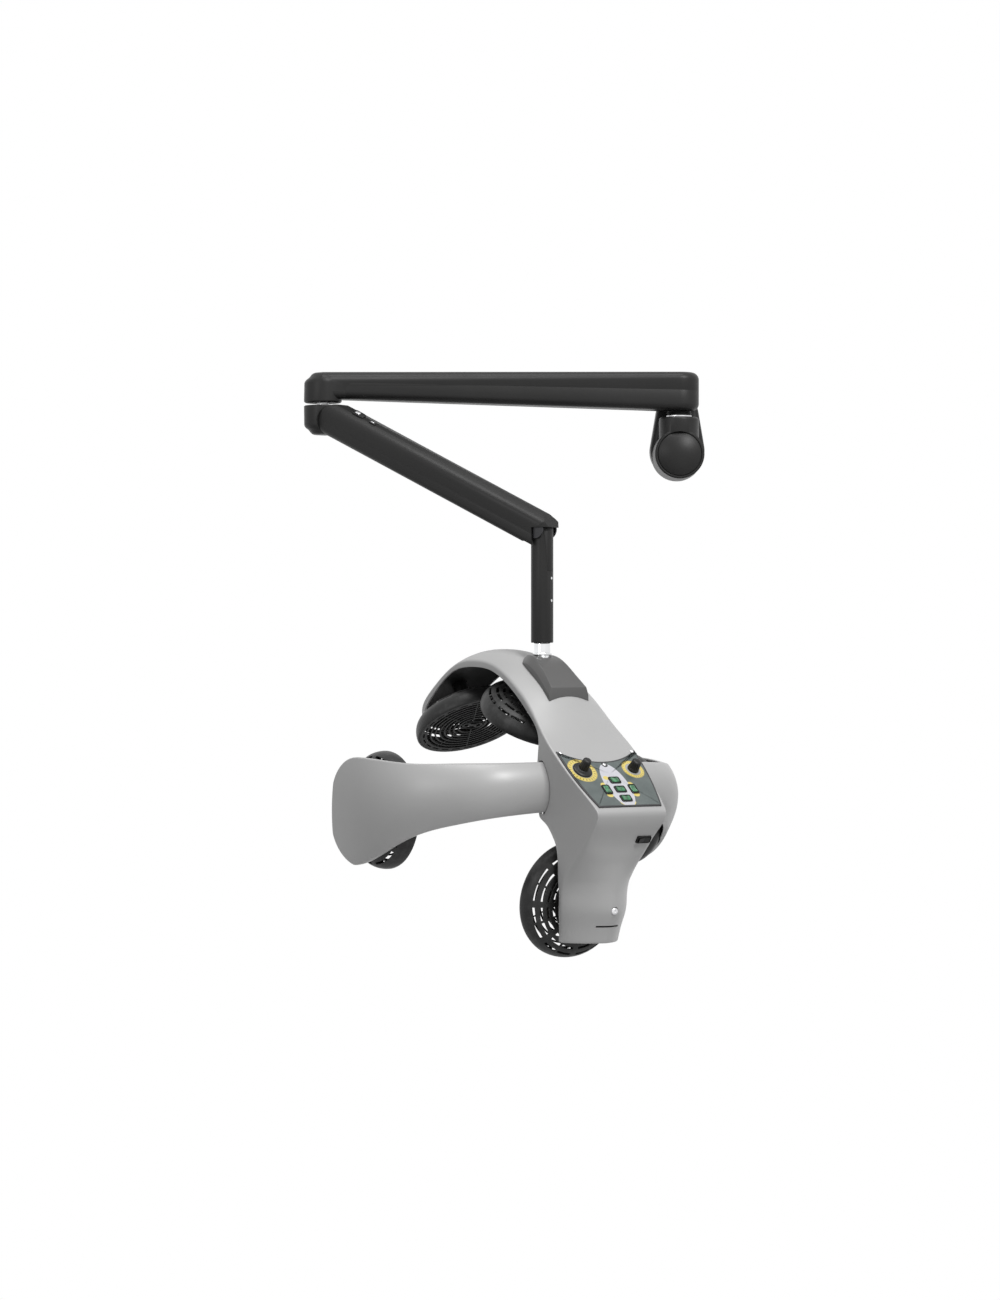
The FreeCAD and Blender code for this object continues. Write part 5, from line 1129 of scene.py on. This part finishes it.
SWITCH_AT = np.array([36.3, -209.4, -617.0])
SWITCH_LEAN, SWITCH_TURN = math.radians(123.0), math.radians(4.0)


def on_switch(x, y, z):
    """Mains switch's millimetres (Z out of the surface) to the row frame."""
    c, s = math.cos(SWITCH_LEAN), math.sin(SWITCH_LEAN)
    y, z = y * c - z * s, y * s + z * c
    c, s = math.cos(SWITCH_TURN), math.sin(SWITCH_TURN)
    return head_points(SWITCH_AT[0] + x * c - y * s, SWITCH_AT[1] + x * s + y * c,
                       SWITCH_AT[2] + z)


def on_key(across, down, turned):
    """Carrier from a key's own millimetres to the row frame."""
    def carry(x, y, z):
        if turned:
            x, y = -y, x
        return on_panel(across + x, -down + y, PANEL_T + z)
    return carry


def block(carry, low, high):
    """Closed box between two corners, carried to its place."""
    x, y = ([a[k] for a in (low, high)] for k in range(2))
    ring = np.array([(x[0], y[0]), (x[1], y[0]), (x[1], y[1]), (x[0], y[1])])
    levels = np.array([low[2:], high[2:]])
    return Skin().grid(carry(ring[:, 0] + 0 * levels, ring[:, 1] + 0 * levels,
                             levels + 0 * ring[:, 0]), around=True, capped=True)


def round_pin(radius, start, end, count=40):
    """Closed cylinder between two points of the head."""
    start, end = np.asarray(start, float), np.asarray(end, float)
    axis = unit(end - start)
    side = unit(np.cross(axis, [1.0, 0, 0]))
    other = np.cross(axis, side)
    turn = circle(count)[:, None]
    ring = radius * (np.cos(turn) * side + np.sin(turn) * other)
    return closed(in_head(np.stack([start + ring, end + ring])))


def panel_plate():
    """Printed plate: rings of its outline drawn inwards, with the edge rounded over.

    The `rim` attribute holds each ring's distance from the plate's edge in millimetres.
    """
    outline = panel_outline(0.0)
    way = np.roll(outline, -1, 0) - np.roll(outline, 1, 0)
    inward = across_line(unit(way))
    if ((outline.mean(0) - outline) * inward).sum() < 0:
        inward = -inward
    rings = ((0.0, 0.0), (0.0, PANEL_T - 0.5), (0.15, PANEL_T - 0.15), (0.5, PANEL_T),
             (1.2, PANEL_T), (2.4, PANEL_T), (3.2, PANEL_T), (7.0, PANEL_T))
    grid = np.stack([on_panel(*(outline + inward * inset).T, height) for inset, height in rings])
    skin = closed(grid)
    plate = loose("panel_plate", skin)
    rim = plate.data.attributes.new("rim", "FLOAT", "POINT")
    flat = np.zeros(len(plate.data.vertices) * 3)
    plate.data.vertices.foreach_get("co", flat)
    every = np.concatenate(skin.points)
    inset = np.concatenate([np.repeat([r[0] for r in rings], len(outline)), [0.0, 30.0]])
    near = ((flat.reshape(-1, 1, 3) - every[None]) ** 2).sum(-1).argmin(1)
    rim.data.foreach_set("value", inset[near])
    return plate


def knob_skin(across, radius, height, turn_by, grip):
    """Knob from its skirt over a fluted grip to a domed top.

    The grip's radius is its share of the skirt's plus a thirtieth part times cos(14 t); one
    flute is raised into a pointer by a narrow bell curve.
    """
    turn = circle(84)[None]
    ease = 1 - grip
    profile = np.array((
        (0.2, 0.3, 0), (0.99, 0.3, 0), (1.0, 0.6, 0), (1.0, 1.6, 0), (1 - 0.08 * ease, 2.4, 0),
        (1 - 0.25 * ease, 3.1, 0), (1 - 0.5 * ease, 3.6, 0), (1 - 0.8 * ease, 3.95, 0),
        (grip, 4.6, 1), (grip * 0.96, 0.35 * height, 1), (grip * 0.91, 0.6 * height, 1),
        (grip * 0.87, 0.85 * height, 1), (grip * 0.85, height - 1.4, 1),
        (grip * 0.80, height - 0.4, 0.6), (grip * 0.70, height + 0.3, 0.2),
        (grip * 0.52, height + 0.8, 0), (grip * 0.25, height + 1.1, 0), (0.01, height + 1.2, 0),
    ))
    share, up, fluted = columns(profile)
    pointer = 0.07 * np.exp(-(((turn + math.pi) % (2 * math.pi) - math.pi) / 0.13) ** 2)
    reach = radius * share * (1 + fluted * (0.035 * np.cos(14 * turn) + pointer))
    angle = turn + math.radians(turn_by + 90)
    return Skin().grid(on_key(across, DIAL_DOWN, False)(
        reach * np.cos(angle), reach * np.sin(angle), up + 0 * turn), around=True, capped=True)


def rocker_skin(place):
    """Domed rocker key: two slopes meet in a shallow V, and its rim falls on a quarter round.

    Heights are the dome's plus 0.14 |x| - 0.05 x, x being the distance along the key.
    """
    share, level = columns(KEY_DOME)
    along, across = (share * ring * half for ring, half in zip(squared_ring(KEY_POWER), KEY_HALF))
    slope = (level > 0) * (0.14 * np.abs(along) - 0.05 * along)
    return closed(on_key(*place)(along, across, level + slope))


def frame_skin(carry, power, rows):
    """Frame round a key: its lip's rows carried round a squared ring."""
    long, wide, level = columns(rows)
    x, y = squared_ring(power)
    return Skin().grid(carry(long * x, wide * y, level + 0 * x), around=True, looped=True)


def screw_skin(skin, carry, radius, proud):
    """Domed screw head with a socket: rows of (radius, height) carried round its axis."""
    share, level = columns(SCREW_HEAD)
    grid = turned_rows(level * proud, share * radius, 36)
    return skin.grid(carry(*np.moveaxis(grid, -1, 0)), around=True, capped=True)


def head_screws_skin():
    """Three panel screws and the screw at the neck."""
    skin = Skin()
    for x, down in PANEL_SCREWS:
        screw_skin(skin, on_key(x, down, False), 2.9, 1.3)
    return screw_skin(skin, lambda x, y, z: head_points(x, NECK_FACE + 0.6 - z,
                                                        NECK_SCREW_Z + y), 5.2, 1.6)


def backbone_cuts():
    """Everything that is let into the backbone."""
    yield prism(panel_outline(PANEL_GAP), 0.0, 16.0)
    for name, x, down, turned in KEYS:
        half = KEY_ROOM[::-1] if turned else KEY_ROOM
        yield prism(CORNERS * half + (x, -down), -9.0, 6.0)
    yield block(on_switch, (-13.3, -6.0, -12.0), (13.3, 6.0, 20.0))
    yield round_pin(6.5, (0, -230, NECK_SCREW_Z), (0, NECK_FACE + 1.2, NECK_SCREW_Z))
    yield block(head_points, (-20, -230, SLOT_Z - 1.25), (20, -150, SLOT_Z + 1.25))
    for side in (-1, 1):
        yield arm_pocket(side)
    yield round_pin(12.6, (0, 0, -420), (0, 0, -330))


# Ellipses of the print: across, up, half width and half height.
PANEL_OVAL = (0.0, -74.5, 21.5, 46.0)
GOLD_UNDER = ((0.0, -110.0, 14.5, 8.5), (-23.7, -94.5, 6.0, 5.0), (23.7, -94.5, 6.0, 5.0),
              (-23.7, -73.5, 6.0, 5.0), (23.7, -73.5, 6.0, 5.0))
GOLD_OVER = (-12.5, -59.0, 5.2, 4.2)
DIAL_RINGS = ((-DIAL_X, 16.2, 24.0), (DIAL_X, 12.6, 18.4))      # across, inner and outer radius


def panel_finish():
    """Print of the control plate: a speckled field, two dial rings and a pale oval.

    Distances are millimetres in the plate's own frame: across from its middle and down its
    slope. The rings are bands of distance from a knob's axis, the oval an ellipse.
    """
    finish = Finish("panel_print")
    origin = tuple(on_panel(0.0, 0.0, 0.0).reshape(3))
    ways = [tuple((on_panel(*way).reshape(3) - np.array(origin)) * 1000)
            for way in ((1.0, 0, 0), (0, 1.0, 0))]
    across, up = (finish.along(origin, way) * 1000 for way in ways)
    speck = finish.noise(1500.0, 3.0, 0.7)
    cloud = finish.noise(45.0, 3.0)
    field = (speck * 0.7 + cloud * 0.3).ramp(0.36, 0.66).mix((0.050, 0.066, 0.064, 1),
                                                            (0.105, 0.127, 0.122, 1))
    gold, pale, ink = (0.62, 0.50, 0.13, 1), (0.50, 0.50, 0.535, 1), (0.010, 0.010, 0.011, 1)

    def ellipse(x, y, wide, high):
        """Distance to a point as a share of an ellipse's half axes."""
        return (((across - x) / wide) * ((across - x) / wide)
                + ((up - y) / high) * ((up - y) / high)).root()

    def band(distance, low, high, soft=0.25):
        """One between two distances."""
        return (distance.ramp(low - soft, low + soft)
                * distance.ramp(high - soft, high + soft, 1, 0))

    colour = field
    for patch in GOLD_UNDER:
        colour = ellipse(*patch).ramp(0.94, 1.0, 1, 0).mix(colour, gold)
    colour = ellipse(*PANEL_OVAL).ramp(0.985, 1.0, 1, 0).mix(colour, pale)
    colour = ellipse(*GOLD_OVER).ramp(0.94, 1.0, 1, 0).mix(colour, gold)
    for x, low, high in DIAL_RINGS:
        away = (((across - x) * (across - x)) + (up + DIAL_DOWN) * (up + DIAL_DOWN)).root()
        round_it = (up + DIAL_DOWN).maths("ARCTAN2", across - x)
        marks = abs((round_it * (12 / math.pi)).maths("FRACT") - 0.5)
        tick = marks.ramp(0.10, 0.16, 1, 0) * band(away, low + 2.4, high - 2.2)
        colour = away.ramp(low - 0.3, low, 1, 0).mix(colour, (0.34, 0.34, 0.33, 1))
        colour = band(away, low, high).mix(colour, gold)
        colour = (tick * 0.8).mix(colour, (0.05, 0.04, 0.02, 1))
        colour = band(away, high - 1.1, high - 0.5, 0.2).mix(colour, (0.30, 0.22, 0.05, 1))
    for x, down in PANEL_SCREWS:
        colour = ellipse(x, -down, 5.6, 5.6).ramp(0.93, 1.0, 1, 0).mix(colour, ink)
    rim = finish.place.node("ShaderNodeAttribute", {"attribute_name": "rim"}, output=2)
    colour = rim.ramp(2.6, 3.0, 1, 0).mix(colour, ink)
    finish.drive("Base Color", colour)
    finish.drive("Roughness", 0.34 + (speck - 0.5) * 0.14)
    finish.drive("Coat Weight", 0.25)
    finish.drive("Coat Roughness", 0.25)
    finish.bump(speck, 0.00002)
    return finish.material


# ================================================================ pieces from arrays
def build_head():
    """Backbone, liner, and the panel with its knobs, keys, frames and screws."""
    shell = carved(loose("backbone", backbone_skin()), backbone_cuts())
    finished(shell, "silver_plastic", "head", "spine_shell", "column_shell")
    liner = carved(loose("liner", liner_skin()),
                   [block(head_points, (s * 85 - 26, -140, -582), (s * 85 + 26, -70, -500))
                    for s in (-1, 1)])
    finished(liner, "liner_plastic", "head", "spine_liner")
    finished(panel_plate(), "panel_print", "head", "control_panel")
    for name, *measures in KNOBS:
        finished(loose(name + "_fluted", knob_skin(*measures)), "black_gloss", BODY_OF[name], name)
    frames = Skin()
    for name, *place in KEYS:
        finished(loose(name + "_key", rocker_skin(place)), "green_translucent",
                 BODY_OF[name + "_rocker"], name + "_rocker")
        frames.add(frame_skin(on_key(*place), 8, KEY_FRAME))
    frames.add(frame_skin(on_switch, 9, SWITCH_FRAME))
    finished(loose("switch_frames", frames), "black_gloss", "head", "switch_bezels")
    finished(loose("screw_heads", head_screws_skin()), "steel", "head", "head_screws")


def build_arms():
    """Both side arms with their liners, cut out round the heater that each one carries."""
    for side, heater in zip((-1, 1), HEATERS[3:]):
        body = heater.body
        for part, skin, slot, node in (
                ("_skin", arm_skin(side), "silver_plastic", "_shell"),
                ("_inner", arm_liner_skin(side), "liner_plastic", "_liner")):
            piece = carved(loose(body + part, skin), [dish_room(heater)])
            finished(piece, slot, body, body + node)


def build_heaters():
    """Dish, guard and tube of all five heaters."""
    for heater in HEATERS:
        for make, slot, node in ((heater_housing, "black_enamel", "_heater_housing"),
                                 (heater_guard, "black_wire", "_heater_grille"),
                                 (heater_tube, "element_ceramic", "_heater_element")):
            finished(make(heater), slot, heater.body, heater.name + node)


FIRST_PIVOT, SEAL_FOOT, SEAL_HIGH = np.array([0.0, -80.0, 0.0]), 31.4, 9.2


def build_pivot_seal():
    """Dark ribbed sleeve round the first pivot, between bracket and arm.

    Its radius is 19 plus 0.7 times the cosine of the height, three ribs over its length.
    """
    level = np.linspace(0, 1, 25)[:, None]
    radius = (19.0 + 0.7 * np.cos(level * 6 * math.pi)
              - 3.0 * ((level < 0.01) | (level > 0.99)))
    grid = (turned_rows(SEAL_FOOT + SEAL_HIGH * level, radius, 64) + FIRST_PIVOT) * MM
    finished(loose("pivot_seal", closed(grid)), "black_gloss",
             "upper_arm")


FINISHES["panel_print"] = panel_finish()
for node_name, node_object in NODES.items():
    node_object.data.materials.clear()
    node_object.data.materials.append(FINISHES[OTHER_FINISH.get(node_name, SLOT_OF[node_name])])
build_head()
build_arms()
build_heaters()
build_pivot_seal()

for name in ("bracket_body", "bracket_cap", "elbow_housing", "drop_sleeve", "sleeve_cover",
             "stem_tube", "heater_posts"):
    refined(name)
for name in ("upper_arm_top_shell", "upper_arm_bottom_shell", "lower_arm_top_shell",
             "lower_arm_bottom_shell"):
    refined(name, 0.0016)
refined("saddle_cover", 0.0016, 20.0)


# ================================================================ changes to the arms' shells
# Lower arm: its heading in plan, its dip, and the ways down the arm, to its side and off its top.
DIP = math.radians(25.2)
HEADING = math.radians(-33.6)
TILT_PIVOT, HOOD_AT = (np.array(joint_named(name)["pos_m"]) / MM
                       for name in ("arm_tilt", "sleeve_level"))
ARM_WAY = np.array([math.cos(HEADING), math.sin(HEADING), 0.0])
ARM_SIDE = np.array([ARM_WAY[1], -ARM_WAY[0], 0.0])
UPRIGHT = np.array([0.0, 0.0, 1.0])
ARM_DOWN = ARM_WAY * math.cos(DIP) - UPRIGHT * math.sin(DIP)
ARM_OFF = ARM_WAY * math.sin(DIP) + UPRIGHT * math.cos(DIP)
# The end beyond the sleeve's pivot: reach from it, where the change begins, and the corner.
HOOD_OLD, HOOD_REACH, HOOD_FROM = 20.5, 20.6, 9.0
HOOD_CORNER, HOOD_LEVEL, HOOD_SHARE = 13.0, 6.0, 0.45
HOOD_FADE = (-2.0, 8.0)                  # the change grows over this height from this level
ELBOW, ELBOW_R = np.array([-565.0, -80.0, 0.0]), 30.0
ELBOW_TOP = 102.0
UPPER_SEAM_Z, LOWER_SEAM_DOWN = 80.5, 7.2
SEAM_RING = np.array([(-0.5, -0.3), (-0.5, 0.12), (0.5, 0.12), (0.5, -0.3)])


def reshaped(name, rule):
    """Move a piece's points by a rule for places in millimetres."""
    mesh = bpy.data.objects[name].data
    flat = np.empty(len(mesh.vertices) * 3)
    mesh.vertices.foreach_get("co", flat)
    mesh.vertices.foreach_set("co", (rule(flat.reshape(-1, 3) / MM) * MM).ravel())
    mesh.update()


def round_hood(places):
    """Draw in the lower arm's end beyond its pivot, so that it falls plumb from a round corner.

    Along the arm's heading, what lies past HOOD_FROM shrinks by the ratio of the wanted reach
    to the old one. The old end leans outwards with the dip; the wanted one is a plumb line
    that turns into a quarter circle above HOOD_LEVEL.
    """
    away = places - HOOD_AT
    along, up = away @ ARM_WAY, away[:, 2]
    old = HOOD_OLD / math.cos(DIP) + up * math.tan(DIP)
    over = np.clip(up - HOOD_LEVEL, 0, HOOD_CORNER)
    wanted = HOOD_REACH - (HOOD_CORNER - np.sqrt(HOOD_CORNER ** 2 - over ** 2)) * HOOD_SHARE
    ratio = np.clip((wanted - HOOD_FROM) / np.maximum(old - HOOD_FROM, 1.0), 0.2, 1.0)
    change = (ratio - 1) * np.clip((up - HOOD_FADE[0]) / HOOD_FADE[1], 0, 1)
    moved = np.maximum(along - HOOD_FROM, 0.0) * change
    return places + moved[:, None] * ARM_WAY


def round_elbow(radius, level, sign):
    """Rule that rounds off the end of a shell round the elbow's axis, above or below.

    Beyond the circle's centre, in the plane of distance from the axis and height, each point
    moves towards that centre by (|cos|^5 + |sin|^5)^(1/5) of its direction, which turns a
    nearly square corner into a quarter circle. It fades out towards the arm's sides.
    """
    def rule(places):
        x, y, z = (places - ELBOW).T
        away = np.maximum(np.hypot(x, y), 1e-9)
        out = np.maximum(away - (ELBOW_R - radius), 0)
        rise = np.maximum((z - level) * sign + radius, 0)
        long = np.maximum(np.hypot(out, rise), 1e-9)
        shrink = ((out / long) ** 5 + (rise / long) ** 5) ** 0.2
        shrink = np.where((out > 0) & (rise > 0), shrink, 1.0)
        shrink = 1 + (shrink - 1) * np.clip(-x / away, 0, 1) ** 0.5
        ratio = np.where(out > 0, ((ELBOW_R - radius) + out * shrink) / away, 1.0)
        z = np.where(rise > 0, level + sign * (rise * shrink - radius), z)
        return np.stack([x * ratio, y * ratio, z], 1) + ELBOW
    return rule


def seam_strip(shell_name, starts, way, wide):
    """Thin dark strip let on to a shell, where rays from its front strike it."""
    shell = bpy.data.objects[shell_name]
    rays = [shell.ray_cast(Vector(start * MM), Vector(way)) for start in starts]
    places, normals = (np.array([ray[k] for ray in rays if ray[0]]) for k in (1, 2))
    across = unit(np.cross(normals, unit(np.gradient(places, axis=0))))
    grid = (places[:, None] + SEAM_RING[None, :, :1] * wide * MM * across[:, None]
            + SEAM_RING[None, :, 1:] * MM * normals[:, None])
    return closed(grid)


def build_arm_seams():
    """Parting lines along the camera's side of both arms."""
    x = np.linspace(-528, -8, 90)
    upper = np.stack([x, np.full_like(x, -300.0), UPPER_SEAM_Z + 0 * x], 1)
    lower = (TILT_PIVOT + ARM_DOWN * np.linspace(12, 396, 80)[:, None]
             - ARM_OFF * LOWER_SEAM_DOWN + ARM_SIDE * 200.0)
    for arm, starts, way, wide in (("upper_arm", upper, (0, 1, 0), 1.0),
                                   ("lower_arm", lower, -ARM_SIDE, 1.1)):
        strip = seam_strip(arm + "_top_shell_fine", starts, way, wide)
        finished(loose(arm + "_seam", strip), "black_gloss", arm)


def fitting_skin(skin, along, across, long, wide, levels):
    """Rounded low block on the lower arm: a squared ring through (share, height) levels.

    `along` is measured from the tilt pivot down the arm and `across` towards the room's side.
    A ray from above finds the shell there.
    """
    start = TILT_PIVOT + ARM_DOWN * along + ARM_SIDE * across + ARM_OFF * 200.0
    shell = bpy.data.objects["lower_arm_top_shell_fine"]
    place, normal = shell.ray_cast(Vector(start * MM), Vector(-ARM_OFF))[1:3]
    normal = unit(np.array(normal))
    axis = unit(ARM_DOWN - normal * (ARM_DOWN @ normal))
    share, height = columns(levels)
    x, y = squared_ring(5, 40)
    local = np.stack([share * x * long / 2, share * y * wide / 2, height + 0 * x], -1)
    grid = np.array(place) + local @ np.stack([axis, np.cross(normal, axis), normal]) * MM
    return skin.grid(grid, around=True, capped=True)


def build_arm_fittings():
    """Dark adjuster pocket with its bright screw near the tilt pivot, and a small clip."""
    for name, slot, parts in (
            ("adjuster_pocket", "black_gloss", (
                (34.0, 10.0, 24.0, 12.0, ((1.0, -1.5), (1.0, 1.9), (0.93, 2.4), (0.84, 2.4),
                                          (0.80, 1.2), (0.5, 1.0))),
                (66.0, 13.0, 13.0, 5.0, ((1.0, -1.5), (1.0, 1.6), (0.9, 2.0), (0.7, 2.0),
                                         (0.6, 1.4))))),
            ("adjuster_screw", "steel", (
                (32.0, 10.0, 9.0, 6.0, ((1.0, 0.0), (1.0, 2.8), (0.85, 3.4), (0.4, 3.6))),
                (66.0, 13.0, 7.0, 1.8, ((1.0, 0.0), (1.0, 2.2), (0.8, 2.6), (0.3, 2.6)))))):
        skin = Skin()
        for part in parts:
            fitting_skin(skin, *part)
        finished(loose(name, skin), slot, "lower_arm")


for name in ("lower_arm_top_shell_fine", "lower_arm_bottom_shell_fine"):
    reshaped(name, round_hood)
reshaped("upper_arm_top_shell_fine", round_elbow(22.0, ELBOW_TOP, 1.0))
reshaped("elbow_housing_fine", round_elbow(20.0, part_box("elbow_housing")[0][2] / MM, -1.0))
build_arm_seams()
build_arm_fittings()

# ================================================================ floor
FLOOR_Z = -1.92
floor = bpy.data.meshes.new("floor")
floor.from_pydata([(x, y, FLOOR_Z) for x, y in ((-3.0, -3.2), (3.0, -3.2), (3.0, 2.0),
                                                (-3.0, 2.0))], [], [(0, 1, 2, 3)])
floor.materials.append(moulded("pale_floor", tone(0.82), 0.02, 0.6, 300.0, 0.0002))
linked("floor", floor)
